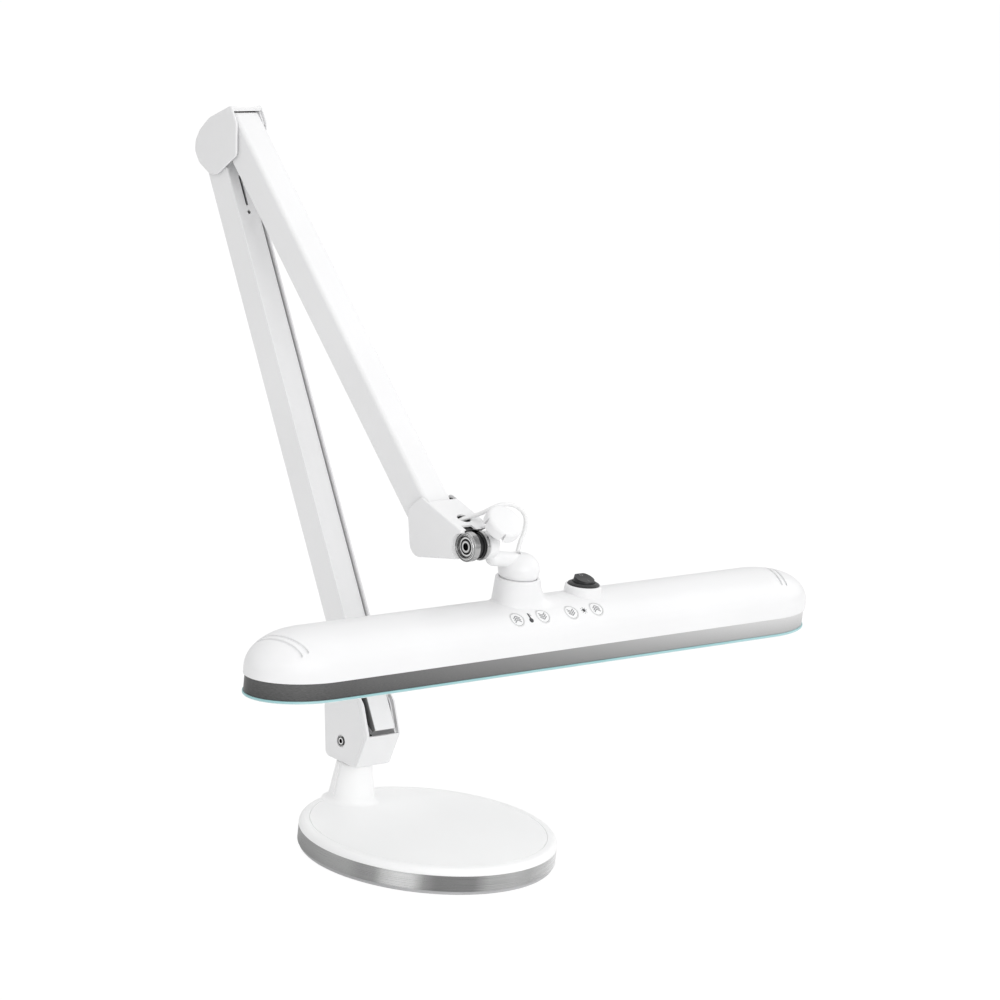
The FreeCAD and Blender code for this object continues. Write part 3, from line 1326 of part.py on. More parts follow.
def cord_tube():
    """Cord loop from the head bracket to the swivel elbow: runs and tangent arcs."""
    route = [at(*point) for point in cord_points]
    edges = []
    length = 0.0
    previous = route[0]
    radii = []
    for i in range(1, len(route) - 1):
        before = route[i - 1].sub(route[i])
        after = route[i + 1].sub(route[i])
        half_turn = (math.pi - before.getAngle(after)) / 2
        reach = 0.45 * min(before.Length, after.Length)
        radius = reach / math.tan(half_turn)
        radii.append(radius)
        start = route[i].add(Vector(before).normalize().multiply(reach))
        end = route[i].add(Vector(after).normalize().multiply(reach))
        bisect = Vector(before).normalize().add(Vector(after).normalize()).normalize()
        centre = route[i].add(Vector(bisect).multiply(radius / math.cos(half_turn)))
        middle = centre.add(route[i].sub(centre).normalize().multiply(radius))
        edges.append(Part.LineSegment(previous, start).toShape())
        edges.append(Part.Arc(start, middle, end).toShape())
        length += previous.distanceToPoint(start) + 2 * half_turn * radius
        previous = end
    edges.append(Part.LineSegment(previous, route[-1]).toShape())
    length += previous.distanceToPoint(route[-1])
    path = Part.Wire(edges)
    first = route[1].sub(route[0])
    ring = Part.Wire([Part.makeCircle(cord_radius, route[0], first)])
    tube = path.makePipeShell([ring], True, False)
    expected = math.pi * cord_radius ** 2 * length
    print("cord radii", [round(r, 1) for r in radii])
    print("cord length", round(length, 1), "volume", round(tube.Volume, 1), "of",
          round(expected, 1), "valid", tube.isValid())
    return tube


def build():
    os.makedirs("parts", exist_ok=True)
    save("base_cover", base_cover())
    bush_low, tube_high = base_parts()
    bracket_parts(bush_low, tube_high)
    pivot_pins("bracket_pins", (lower_pivot, lower_inner_pivot),
               channel_half_width + slip + plate_thickness + 0.05)
    arm_parts()
    elbow_parts()
    head_bracket_parts()
    knuckle_parts()
    bore = knob_parts()
    swivel_elbow(bore)
    save("head_cord", cord_tube())
    head_parts()
    controls()


build()
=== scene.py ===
import json
import math

import bmesh
import bpy
from mathutils import Matrix, Vector


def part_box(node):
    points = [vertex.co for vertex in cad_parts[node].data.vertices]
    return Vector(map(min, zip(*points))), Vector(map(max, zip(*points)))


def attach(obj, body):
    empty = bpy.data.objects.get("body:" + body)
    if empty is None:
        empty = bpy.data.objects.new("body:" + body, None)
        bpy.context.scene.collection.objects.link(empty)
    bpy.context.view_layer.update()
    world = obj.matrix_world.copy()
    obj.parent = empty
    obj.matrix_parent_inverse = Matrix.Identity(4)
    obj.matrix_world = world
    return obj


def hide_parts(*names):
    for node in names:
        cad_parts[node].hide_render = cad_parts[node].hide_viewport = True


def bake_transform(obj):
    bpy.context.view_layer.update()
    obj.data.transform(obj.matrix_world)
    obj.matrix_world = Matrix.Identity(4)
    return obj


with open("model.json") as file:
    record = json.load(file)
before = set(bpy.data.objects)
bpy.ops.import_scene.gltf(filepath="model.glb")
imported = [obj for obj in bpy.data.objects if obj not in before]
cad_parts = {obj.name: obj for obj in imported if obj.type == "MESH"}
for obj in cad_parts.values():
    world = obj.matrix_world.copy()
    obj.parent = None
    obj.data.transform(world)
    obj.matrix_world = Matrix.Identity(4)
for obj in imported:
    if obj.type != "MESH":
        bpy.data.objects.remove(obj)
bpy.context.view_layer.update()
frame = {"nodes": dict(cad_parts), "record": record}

scene = bpy.context.scene

# Sizes shared with the solids, in metres: x is right of the arm plane, f in front of the post
POST_X, POST_Y = -0.014374, 0.072591
HEAD_F = 0.108461
CROWN_Z = 0.197751
CROWN_RADIUS = 0.045
SHOULDER_RADIUS = 0.024
SHOULDER_SIDE = 0.008
SHOULDER_DROP = 0.025584
BUTTON_OFFSET = 0.0224
BUTTON_PLACES = (0.0260, 0.0508, 0.0787, 0.1034)
HEAD_CENTRE_X = 0.0719
HEAD_HALF_LENGTH = 0.2685
BOSS_X = 0.0435
BOSS_HEIGHT = 0.0175
BOSS_RADIUS = 0.0164
BORE_RADIUS, RECESS_RADIUS, RECESS_DEPTH = 0.0086, 0.0140, 0.0018
ROCKER_X = 0.1097
ROCKER_RISE = 0.0074
KNUCKLE_Z = 0.242351
BAND_RADIUS = 0.095

# Each spring: its body, then its lower pivot's f and z, and its arm's lean in degrees
SPRINGS = {
    "lower_spring": ("lower_link", 0.011537, 0.099507, 31.4),
    "upper_spring": ("upper_link", -0.197821, 0.486956, 47.4 - 180.0),
}


def at(x, f, z):
    """Point x right of the arm plane and f in front of the post, in metres."""
    return Vector((POST_X + x, POST_Y - f, z))


# Camera, backdrop and light

def aim_camera():
    """Camera at the photograph's place, height and slight roll."""
    right = Vector((0.74438, -0.66013, 0.10057))
    up = Vector((0.07951, 0.23716, 0.96821))
    back = Vector((-0.66300, -0.71272, 0.22903))
    data = bpy.data.cameras.new("studio_camera")
    data.sensor_width = 36.0
    data.lens = 139.25
    data.clip_start = 0.1
    data.clip_end = 60.0
    camera = bpy.data.objects.new("studio_camera", data)
    turn = Matrix((right, up, back)).transposed().to_4x4()
    camera.matrix_world = Matrix.Translation((-1.81885, -1.99523, 0.90396)) @ turn
    scene.collection.objects.link(camera)
    scene.camera = camera


def white_for_the_eye(tree):
    """Kinds of ray, and an output that is 1 for those that see the plain white backdrop."""
    path = tree.nodes.new("ShaderNodeLightPath")
    direct = tree.nodes.new("ShaderNodeMath")
    direct.operation = "MAXIMUM"
    tree.links.new(path.outputs["Is Camera Ray"], direct.inputs[0])
    tree.links.new(path.outputs["Is Transmission Ray"], direct.inputs[1])
    return path, direct.outputs[0]


def build_surroundings():
    """White to the eye, soft light for the piece, and darker below in its reflections."""
    world = bpy.data.worlds.new("studio_air")
    scene.world = world
    world.use_nodes = True
    tree = world.node_tree
    tree.nodes.clear()
    output = tree.nodes.new("ShaderNodeOutputWorld")
    soft = tree.nodes.new("ShaderNodeBackground")
    soft.inputs["Color"].default_value = (1.0, 1.0, 1.0, 1.0)
    soft.inputs["Strength"].default_value = 0.72
    white = tree.nodes.new("ShaderNodeBackground")
    white.inputs["Color"].default_value = (1.0, 1.0, 1.0, 1.0)
    white.inputs["Strength"].default_value = 1.0
    path, seen = white_for_the_eye(tree)
    glossy = tree.nodes.new("ShaderNodeBackground")
    way = axes(tree, tree.nodes.new("ShaderNodeTexCoord").outputs["Generated"])
    ramp = tree.nodes.new("ShaderNodeValToRGB")
    ramp.color_ramp.elements[0].position = 0.30
    ramp.color_ramp.elements[0].color = (0.16, 0.16, 0.17, 1.0)
    ramp.color_ramp.elements[1].position = 0.72
    ramp.color_ramp.elements[1].color = (1.0, 1.0, 1.0, 1.0)
    level = tree.nodes.new("ShaderNodeMapRange")
    level.inputs["From Min"].default_value = -1.0
    level.inputs["From Max"].default_value = 1.0
    tree.links.new(way["Z"], level.inputs["Value"])
    tree.links.new(level.outputs[0], ramp.inputs[0])
    tree.links.new(ramp.outputs[0], glossy.inputs["Color"])
    around = either(tree, path.outputs["Is Glossy Ray"], soft.outputs[0], glossy.outputs[0])
    tree.links.new(either(tree, seen, around, white.outputs[0]), output.inputs[0])


def build_floor():
    """Matt white floor that glows as white as the surroundings for the eye."""
    mesh = bpy.data.meshes.new("studio_floor")
    half, drop = 9.0, -0.0004
    mesh.from_pydata([(-half, -half, drop), (half, -half, drop), (half, half, drop),
                      (-half, half, drop)], [], [(0, 1, 2, 3)])
    floor = bpy.data.objects.new("studio_floor", mesh)
    scene.collection.objects.link(floor)
    finish = bpy.data.materials.new("studio_floor")
    finish.use_nodes = True
    tree = finish.node_tree
    tree.nodes.clear()
    output = tree.nodes.new("ShaderNodeOutputMaterial")
    paper = tree.nodes.new("ShaderNodeBsdfDiffuse")
    paper.inputs["Color"].default_value = (0.92, 0.92, 0.92, 1.0)
    glow = tree.nodes.new("ShaderNodeEmission")
    glow.inputs["Strength"].default_value = 1.06
    share = tree.nodes.new("ShaderNodeMath")
    share.operation = "MULTIPLY"
    share.inputs[1].default_value = 0.90
    tree.links.new(white_for_the_eye(tree)[1], share.inputs[0])
    tree.links.new(either(tree, share.outputs[0], paper.outputs[0], glow.outputs[0]),
                   output.inputs[0])
    mesh.materials.append(finish)


def hang_panels():
    """Four soft round panels of light: name, place, aim, size and power."""
    panels = (
        ("front_panel", (-0.2, -2.7, 1.2), (0.0, 0.0, 0.15), 2.4, 26.0),
        ("top_panel", (0.2, 0.1, 2.8), (0.0, 0.0, 0.1), 3.6, 13.5),
        ("right_panel", (2.6, -0.4, 1.4), (0.0, 0.0, 0.2), 1.8, 8.0),
        ("left_panel", (-2.6, -0.6, 1.2), (0.0, 0.0, 0.2), 2.0, 2.6),
    )
    for name, place, target, size, power in panels:
        light = bpy.data.lights.new(name, "AREA")
        light.shape = "DISK"
        light.size = size
        light.energy = power
        lamp = bpy.data.objects.new(name, light)
        lamp.location = place
        aim = Vector(target) - Vector(place)
        lamp.rotation_euler = aim.to_track_quat("-Z", "Y").to_euler()
        scene.collection.objects.link(lamp)


# Finishes

def either(tree, amount, first, second):
    """Shader between two shaders."""
    mix = tree.nodes.new("ShaderNodeMixShader")
    for socket, value in zip(mix.inputs, (amount, first, second)):
        tree.links.new(value, socket)
    return mix.outputs[0]


def axes(tree, place):
    """The X, Y and Z outputs of a place."""
    split = tree.nodes.new("ShaderNodeSeparateXYZ")
    tree.links.new(place, split.inputs[0])
    return split.outputs


def dimmed(tree, colour, factor):
    """Colour times a factor, both of them outputs."""
    scale = tree.nodes.new("ShaderNodeVectorMath")
    scale.operation = "SCALE"
    tree.links.new(colour, scale.inputs[0])
    tree.links.new(factor, scale.inputs["Scale"])
    return scale.outputs[0]


def grain_noise(tree, place, scale, detail, stretch=(1.0, 1.0, 1.0)):
    """Noise of scale per metre, stretched along the piece's own axes."""
    mapping = tree.nodes.new("ShaderNodeMapping")
    mapping.inputs["Scale"].default_value = stretch
    tree.links.new(place, mapping.inputs["Vector"])
    noise = tree.nodes.new("ShaderNodeTexNoise")
    noise.inputs["Scale"].default_value = scale
    noise.inputs["Detail"].default_value = detail
    tree.links.new(mapping.outputs[0], noise.inputs["Vector"])
    return noise.outputs["Fac"]


def spread(tree, value, low, high, start=0.35, end=0.65):
    """Value from noise spread between low and high."""
    level = tree.nodes.new("ShaderNodeMapRange")
    level.inputs["From Min"].default_value = start
    level.inputs["From Max"].default_value = end
    level.inputs["To Min"].default_value = low
    level.inputs["To Max"].default_value = high
    tree.links.new(value, level.inputs["Value"])
    return level.outputs[0]


def mixed(tree, amount, first, second):
    """Colour between first and second; each is a colour or an output."""
    mix = tree.nodes.new("ShaderNodeMix")
    mix.data_type = "RGBA"
    for socket, value in ((mix.inputs[6], first), (mix.inputs[7], second)):
        if isinstance(value, tuple):
            socket.default_value = value + (1.0,)
        else:
            tree.links.new(value, socket)
    tree.links.new(amount, mix.inputs[0])
    return mix.outputs[2]


def shaded(tone, factor):
    """A colour made lighter or darker."""
    return tuple(min(c * factor, 1.0) for c in tone)


def round_place(tree, place, reach):
    """Place unrolled round the upright axis: turn times reach as X, and the height as Z."""
    spot = axes(tree, place)
    turn = tree.nodes.new("ShaderNodeMath")
    turn.operation = "ARCTAN2"
    tree.links.new(spot["Y"], turn.inputs[0])
    tree.links.new(spot["X"], turn.inputs[1])
    run = tree.nodes.new("ShaderNodeMath")
    run.operation = "MULTIPLY"
    run.inputs[1].default_value = reach
    tree.links.new(turn.outputs[0], run.inputs[0])
    join = tree.nodes.new("ShaderNodeCombineXYZ")
    tree.links.new(run.outputs[0], join.inputs["X"])
    tree.links.new(spot["Z"], join.inputs["Z"])
    return join.outputs[0]


def new_finish(name):
    """Empty material with its shader and the piece's own place."""
    material = bpy.data.materials.new(name)
    material.use_nodes = True
    tree = material.node_tree
    shader = tree.nodes["Principled BSDF"]
    place = tree.nodes.new("ShaderNodeTexCoord").outputs["Object"]
    return material, tree, shader, place


def set_relief(tree, shader, height, strength, distance):
    """Fine relief from a height output."""
    bump = tree.nodes.new("ShaderNodeBump")
    bump.inputs["Strength"].default_value = strength
    bump.inputs["Distance"].default_value = distance
    tree.links.new(height, bump.inputs["Height"])
    tree.links.new(bump.outputs[0], shader.inputs["Normal"])


def moulded(name, tone, gloss, texture, strength, drift=0.02, dust=0.03):
    """Moulded or sprayed surface: fine texture, a slow drift of tone and uneven gloss."""
    material, tree, shader, place = new_finish(name)
    fine = grain_noise(tree, place, texture, 5.0)
    slow = grain_noise(tree, place, 9.0, 3.0)
    patch = grain_noise(tree, place, 60.0, 4.0)
    base = mixed(tree, spread(tree, slow, 0.0, 1.0), shaded(tone, 1.0 - drift),
                 shaded(tone, 1.0 + drift * 0.5))
    speckle = mixed(tree, spread(tree, fine, 0.0, dust, 0.55, 0.75), base, shaded(tone, 0.7))
    tree.links.new(speckle, shader.inputs["Base Color"])
    tree.links.new(spread(tree, patch, gloss - 0.05, gloss + 0.06), shader.inputs["Roughness"])
    shader.inputs["IOR"].default_value = 1.47
    set_relief(tree, shader, fine, strength, 0.0002)
    return material


def gap_shaded_paint():
    """White paint with painted shade: its long edges are darkened where the nested channel slips
    into its mate, standing in for the shadow in that gap.
    """
    material = moulded("gap_shaded_paint", (0.87, 0.87, 0.875), 0.40, 900.0, 0.16)
    tree = material.node_tree
    shader = tree.nodes["Principled BSDF"]
    spot = axes(tree, tree.nodes.new("ShaderNodeTexCoord").outputs["Object"])
    shade_start, shade_end = 0.0012, 0.0006
    low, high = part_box("lower_inner_channel")
    side = tree.nodes.new("ShaderNodeMath")
    side.operation = "SUBTRACT"
    side.inputs[1].default_value = (low[0] + high[0]) / 2
    tree.links.new(spot["X"], side.inputs[0])
    out = tree.nodes.new("ShaderNodeMath")
    out.operation = "ABSOLUTE"
    tree.links.new(side.outputs[0], out.inputs[0])
    half = (high[0] - low[0]) / 2
    # Painted shade: the strip nearest each long edge of the nested channel turns near black, as
    # the shadow in the gap would.
    gap_shade = spread(tree, out.outputs[0], 0.0, 1.0, half - shade_start, half - shade_end)
    paint_tone = shader.inputs["Base Color"].links[0].from_socket
    tree.links.new(mixed(tree, gap_shade, paint_tone, (0.10, 0.10, 0.10)), shader.inputs["Base Color"])
    return material


def brushed(name, tone, gloss, stretch, scale):
    """Metal with long fine scratches along an axis."""
    material, tree, shader, place = new_finish(name)
    lines = grain_noise(tree, place, scale, 6.0, stretch)
    wide = grain_noise(tree, place, scale * 0.08, 2.0, stretch)
    base = mixed(tree, spread(tree, lines, 0.0, 1.0), shaded(tone, 0.75), tone)
    cloud = mixed(tree, spread(tree, wide, 0.0, 0.35), base, shaded(tone, 1.15))
    tree.links.new(cloud, shader.inputs["Base Color"])
    shader.inputs["Metallic"].default_value = 1.0
    tree.links.new(spread(tree, lines, gloss - 0.08, gloss + 0.12), shader.inputs["Roughness"])
    set_relief(tree, shader, lines, 0.25, 0.00006)
    return material


# Painted reflection rings of the turned metal: distance from the axis in metres, and how bright
# it is there
KNUCKLE_PAINTED_RINGS = (
    (0.0, 0.02), (0.0027, 0.02), (0.0030, 0.75), (0.0040, 0.55), (0.0044, 0.04),
    (0.0056, 0.06), (0.0060, 0.85), (0.0066, 0.75), (0.0070, 0.06), (0.0082, 0.12),
    (0.0086, 0.9), (0.0093, 0.85), (0.0098, 0.16), (0.0104, 0.30), (0.0110, 0.55))
SCREW_PAINTED_RINGS = (
    (0.0, 0.02), (0.0016, 0.02), (0.0018, 0.95), (0.0024, 0.8), (0.0027, 0.05),
    (0.0034, 0.12), (0.0040, 0.5))

# Painted reflections on the base's band: degrees round it, and how bright it is there
BAND_PAINTED_REFLECTIONS = (
    (-180, 0.40), (-168, 0.42), (-161, 0.33), (-154, 0.36), (-150, 0.62), (-144, 0.74),
    (-137, 0.70), (-132, 0.34), (-127, 0.23), (-110, 0.24), (-103, 0.44), (-90, 0.50),
    (-80, 0.46), (-66, 0.60), (-55, 0.80), (-42, 1.0), (-10, 0.55), (30, 0.66),
    (55, 0.40), (90, 0.56), (120, 0.36), (150, 0.27), (165, 0.34), (180, 0.40))

# Painted reflection along the light's frame: from its left end to its right, and how bright it is
# there
FRAME_PAINTED_REFLECTION = ((0.0, 0.09), (0.12, 0.102), (0.25, 0.164), (0.40, 0.257),
             (0.55, 0.371), (0.70, 0.504), (0.85, 0.634), (1.0, 0.72))


def make_finishes():
    """Every finish of the lamp, by name."""
    made = {
        "white_moulding": moulded("white_moulding", (0.86, 0.86, 0.865), 0.34, 1500.0, 0.10),
        "white_paint": moulded("white_paint", (0.87, 0.87, 0.875), 0.40, 900.0, 0.16),
        "base_white": moulded("base_white", (0.95, 0.95, 0.95), 0.42, 1300.0, 0.20),
        "black_moulding": moulded("black_moulding", (0.010, 0.010, 0.011), 0.40, 1200.0, 0.12,
                                  0.1, 0.2),
        "pad_rubber": moulded("pad_rubber", (0.55, 0.55, 0.56), 0.75, 700.0, 0.35, 0.1, 0.3),
        "nylon": moulded("nylon", (0.78, 0.77, 0.72), 0.5, 900.0, 0.12),
        "cord_sheath": moulded("cord_sheath", (0.86, 0.86, 0.86), 0.5, 1800.0, 0.2),
        "grey_print": moulded("grey_print", (0.06, 0.06, 0.065), 0.6, 1500.0, 0.1, 0.08, 0.2),
        "pale_print": moulded("pale_print", (0.27, 0.27, 0.28), 0.6, 1500.0, 0.1, 0.08, 0.2),
        "cast_weight": moulded("cast_weight", (0.10, 0.10, 0.105), 0.7, 300.0, 0.6, 0.2, 0.4),
        "white_board": moulded("white_board", (0.82, 0.84, 0.82), 0.45, 1100.0, 0.15),
        "led_face": moulded("led_face", (0.85, 0.74, 0.32), 0.35, 1500.0, 0.1),
        "plain_steel": brushed("plain_steel", (0.60, 0.61, 0.62), 0.34, (1.0, 1.0, 8.0), 500.0),
        "satin_aluminium": brushed("satin_aluminium", (0.66, 0.67, 0.68), 0.38,
                                   (1.0, 12.0, 12.0), 400.0),
    }
    # The knuckle's chrome carries painted reflection rings round the tilt axis.
    made["chrome"] = chrome_with_painted_rings("chrome", POST_Y - HEAD_F, KNUCKLE_Z, KNUCKLE_PAINTED_RINGS)
    # The bracket screws get painted reflection rings round their own centre.
    low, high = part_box("bracket_screws")
    screw = (Vector(low) + Vector(high)) / 2
    made["screw_painted_rings"] = chrome_with_painted_rings("screw_painted_rings", screw.y, screw.z, SCREW_PAINTED_RINGS)
    made["light_band"] = light_band()
    made["brushed_band"] = base_band()
    made["gap_shaded_paint"] = gap_shaded_paint()
    made["opal"] = opal_lens()
    return made


def chrome_with_painted_rings(name, y, z, painted_rings):
    """Bright turned metal with painted reflections: light and dark rings round its cross axis
    stand in for the reflections of its steps.
    """
    material, tree, shader, place = new_finish(name)
    hair = grain_noise(tree, place, 1300.0, 5.0, (9.0, 1.0, 1.0))
    flat = tree.nodes.new("ShaderNodeVectorMath")
    flat.operation = "MULTIPLY"
    flat.inputs[1].default_value = (0.0, 1.0, 1.0)
    tree.links.new(place, flat.inputs[0])
    gap = tree.nodes.new("ShaderNodeVectorMath")
    gap.operation = "DISTANCE"
    gap.inputs[1].default_value = (0.0, y, z)
    tree.links.new(flat.outputs[0], gap.inputs[0])
    reach = painted_rings[-1][0]
    # Painted reflections: this ramp colours the metal light and dark by its distance from the
    # axis.
    ramp = tone_ramp(tree, [(out / reach, level) for out, level in painted_rings])
    tree.links.new(spread(tree, gap.outputs["Value"], 0.0, 1.0, 0.0, reach), ramp.inputs[0])
    tree.links.new(ramp.outputs[0], shader.inputs["Base Color"])
    shader.inputs["Metallic"].default_value = 1.0
    tree.links.new(spread(tree, hair, 0.07, 0.2), shader.inputs["Roughness"])
    set_relief(tree, shader, hair, 0.12, 0.00005)
    return material


def tone_ramp(tree, stops):
    """Grey ramp through (position, level) stops."""
    ramp = tree.nodes.new("ShaderNodeValToRGB")
    ramp.color_ramp.elements[0].position = stops[0][0]
    ramp.color_ramp.elements[1].position = stops[-1][0]
    for stop in stops[1:-1]:
        ramp.color_ramp.elements.new(stop[0])
    for element, stop in zip(ramp.color_ramp.elements, stops):
        element.color = (stop[1], stop[1], stop[1], 1.0)
    return ramp


def base_band():
    """Brushed steel round the base, with painted reflections: soft bright and dim flashes round
    its bend.
    """
    material, tree, shader, place = new_finish("base_band")
    around = round_place(tree, place, BAND_RADIUS)
    lines = grain_noise(tree, around, 240.0, 6.0, (0.06, 1.0, 26.0))
    turn = axes(tree, round_place(tree, place, 0.5 / math.pi))["X"]
    # Painted reflections: this ramp sets the band's colour lighter and darker by the angle round
    # the base.
    ramp = tone_ramp(tree, [((degrees + 180.0) / 360.0, level)
                            for degrees, level in BAND_PAINTED_REFLECTIONS])
    tree.links.new(spread(tree, turn, 0.0, 1.0, -0.5, 0.5), ramp.inputs[0])
    tone = dimmed(tree, ramp.outputs[0], spread(tree, lines, 0.80, 1.12))
    tree.links.new(tone, shader.inputs["Base Color"])
    shader.inputs["Metallic"].default_value = 0.75
    tree.links.new(spread(tree, lines, 0.22, 0.42), shader.inputs["Roughness"])
    set_relief(tree, shader, lines, 0.2, 0.00006)
    return material


def light_band():
    """Satin metal frame round the light, with a painted reflection that is darker towards the
    left end and painted shade that darkens it towards the bottom.
    """
    material, tree, shader, place = new_finish("light_band")
    spot = axes(tree, place)
    # Painted reflection: the frame's colour runs from dark at its left end to light at its right.
    ramp = tone_ramp(tree, FRAME_PAINTED_REFLECTION)
    left = POST_X + HEAD_CENTRE_X - HEAD_HALF_LENGTH
    run = spread(tree, spot["X"], 0.0, 1.0, left, left + 2 * HEAD_HALF_LENGTH)
    tree.links.new(run, ramp.inputs[0])
    lines = grain_noise(tree, place, 420.0, 5.0, (1.0, 1.0, 14.0))
    low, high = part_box("light_frame")
    # Painted shade: the frame's colour is scaled lighter at its top and darker at its bottom.
    rise = spread(tree, spot["Z"], 0.74, 1.22, low[2], high[2])
    tone = mixed(tree, spread(tree, lines, 0.0, 0.12), dimmed(tree, ramp.outputs[0], rise),
                 (0.5, 0.5, 0.5))
    tree.links.new(tone, shader.inputs["Base Color"])
    shader.inputs["Metallic"].default_value = 0.75
    tree.links.new(spread(tree, lines, 0.34, 0.5), shader.inputs["Roughness"])
    set_relief(tree, shader, lines, 0.15, 0.00006)
    return material


def opal_lens():
    """Frosted lens with the cool tint of its cut edge."""
    material, tree, shader, place = new_finish("opal_lens")
    frost = grain_noise(tree, place, 1100.0, 5.0)
    slow = grain_noise(tree, place, 30.0, 2.0)
    floor_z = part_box("diffuser")[0][2]
    edge_start, edge_end = floor_z + 0.0002, floor_z + 0.0009
    rise = spread(tree, axes(tree, place)["Z"], 0.0, 1.0, edge_start, edge_end)
    edge = mixed(tree, spread(tree, slow, 0.0, 1.0), (0.33, 0.58, 0.60), (0.41, 0.65, 0.67))
    tone = mixed(tree, rise, (0.84, 0.86, 0.86), edge)
    tree.links.new(tone, shader.inputs["Base Color"])
    tree.links.new(spread(tree, frost, 0.3, 0.42), shader.inputs["Roughness"])
    shader.inputs["Subsurface Weight"].default_value = 0.15
    shader.inputs["Subsurface Radius"].default_value = (0.004, 0.004, 0.004)
    shader.inputs["IOR"].default_value = 1.49
    set_relief(tree, shader, frost, 0.08, 0.0001)
    return material


# Pieces that keep a solid's shape, with its edges softened

BODY_OF = {node: body for body, members in frame["record"]["behaviour"]["bodies"].items()
           for node in members}
SAME_SPOT = 2e-6
SHARP_ANGLE = math.radians(32.0)
FLAT_ANGLE = math.radians(0.6)


def link(name, mesh, material=None):
    """New object for a mesh, in place."""
    piece = bpy.data.objects.new(name, mesh)
    scene.collection.objects.link(piece)
    if material is not None:
        mesh.materials.clear()
        mesh.materials.append(material)
    return piece


def plain_mesh(piece):
    """Mesh of an object as its settings shape it."""
    bpy.context.view_layer.update()
    graph = bpy.context.evaluated_depsgraph_get()
    return bpy.data.meshes.new_from_object(piece.evaluated_get(graph))


# The visible shell's collar boss, by its reach to the right, the front, the left and the back:
# where its side would meet the shell, how far up the side its foot's curve starts, and how far
# out over the shell the curve runs
BOSS_FOOT = (0.0240, 0.0142, 0.0180, 0.0172)
BOSS_RISE = (0.0110, 0.0085, 0.0015, 0.0040)
BOSS_RUN = (0.0150, 0.0010, 0.0015, 0.0040)
BOSS_RIM = 0.0010
BOSS_SECTIONS = 96
CLEARED_ENDS = (0.0185, 0.0865)
CLEARED_REACH = 0.030
CLEARED_HEIGHT = 0.03
CLEARED_STEPS = 80


def shell_height(across):
    """Height of the shell's outside at a distance in front of its crown line."""
    across = abs(across)
    if across * (CROWN_RADIUS - SHOULDER_RADIUS) <= SHOULDER_SIDE * CROWN_RADIUS:
        return CROWN_Z - CROWN_RADIUS + math.sqrt(CROWN_RADIUS ** 2 - across ** 2)
    fall = math.sqrt(SHOULDER_RADIUS ** 2 - (across - SHOULDER_SIDE) ** 2)
    return CROWN_Z - SHOULDER_DROP + fall


def arch_block():
    """Block that lies on the shell's arch round the collar boss."""
    shape = bmesh.new()
    steps = [CLEARED_REACH * (2.0 * i / CLEARED_STEPS - 1.0) for i in range(CLEARED_STEPS + 1)]
    ends = []
    for x in CLEARED_ENDS:
        low_row = [shape.verts.new(at(x, HEAD_F + a, shell_height(a))) for a in steps]
        high_row = [shape.verts.new(at(x, HEAD_F + a, CROWN_Z + CLEARED_HEIGHT))
                    for a in (CLEARED_REACH, -CLEARED_REACH)]
        ends.append(low_row + high_row)
        shape.faces.new(ends[-1])
    for i in range(len(ends[0])):
        j = (i + 1) % len(ends[0])
        shape.faces.new((ends[0][i], ends[0][j], ends[1][j], ends[1][i]))
    bmesh.ops.recalc_face_normals(shape, faces=shape.faces)
    mesh = bpy.data.meshes.new("arch_block")
    shape.to_mesh(mesh)
    shape.free()
    return mesh


def by_side(values, turn):
    """Value in a direction, from those to the right, the front, the left and the back."""
    right, front, left, back = values
    run, rise = math.cos(turn), math.sin(turn)
    return (right if run > 0 else left) * run ** 2 + (front if rise > 0 else back) * rise ** 2


def boss_profile(turn):
    """Section of the collar boss in one direction, from its bore out and down to the shell."""
    def spot(reach, height):
        return Vector((BOSS_X + reach * math.cos(turn), reach * math.sin(turn), height))

    def on_shell(reach, drop=0.0):
        point = spot(reach, 0.0)
        point.z = shell_height(point.y) - drop
        return point

    top = CROWN_Z + BOSS_HEIGHT
    section = [spot(BORE_RADIUS, top - RECESS_DEPTH), spot(RECESS_RADIUS, top - RECESS_DEPTH),
               spot(RECESS_RADIUS, top)]
    for i in range(5):
        swing = math.radians(90.0 - 20.0 * i)
        section.append(spot(BOSS_RADIUS - BOSS_RIM + BOSS_RIM * math.cos(swing),
                            top - BOSS_RIM + BOSS_RIM * math.sin(swing)))
    foot_reach = by_side(BOSS_FOOT, turn)
    end_reach = foot_reach + by_side(BOSS_RUN, turn)
    crest, foot, end = section[-1], on_shell(foot_reach), on_shell(end_reach)
    knee = foot + (crest - foot).normalized() * by_side(BOSS_RISE, turn)
    for i in range(4):
        section.append(crest.lerp(knee, (i + 1) / 4))
    for i in range(1, 13):
        t = i / 12
        section.append(knee * (1 - t) ** 2 + foot * 2 * t * (1 - t) + end * t ** 2)
    section.append(on_shell(end_reach + 0.0003, 0.0001))
    section.append(on_shell(BORE_RADIUS, 0.0006))
    return [at(p.x, HEAD_F + p.y, p.z) for p in section]


def reshaped_shell(shape):
    """The shell with the boss's foot drawn in, so that it stops short of the buttons."""
    mesh = bpy.data.meshes.new("head_shell_cut")
    shape.to_mesh(mesh)
    body, block = link("head_shell_cut", mesh), link("arch_block", arch_block())
    cut = body.modifiers.new("cut", "BOOLEAN")
    cut.operation = "DIFFERENCE"
    cut.solver = "EXACT"
    cut.object = block
    done = plain_mesh(body)
    shape.clear()
    shape.from_mesh(done)
    for extra in (body, block):
        bpy.data.objects.remove(extra)
    rows = [[shape.verts.new(p) for p in boss_profile(2 * math.pi * i / BOSS_SECTIONS)]
            for i in range(BOSS_SECTIONS)]
    skin = []
    for i, row in enumerate(rows):
        after = rows[(i + 1) % BOSS_SECTIONS]
        for j in range(len(row)):
            k = (j + 1) % len(row)
            skin.append(shape.faces.new((row[j], row[k], after[k], after[j])))
    bmesh.ops.recalc_face_normals(shape, faces=skin)


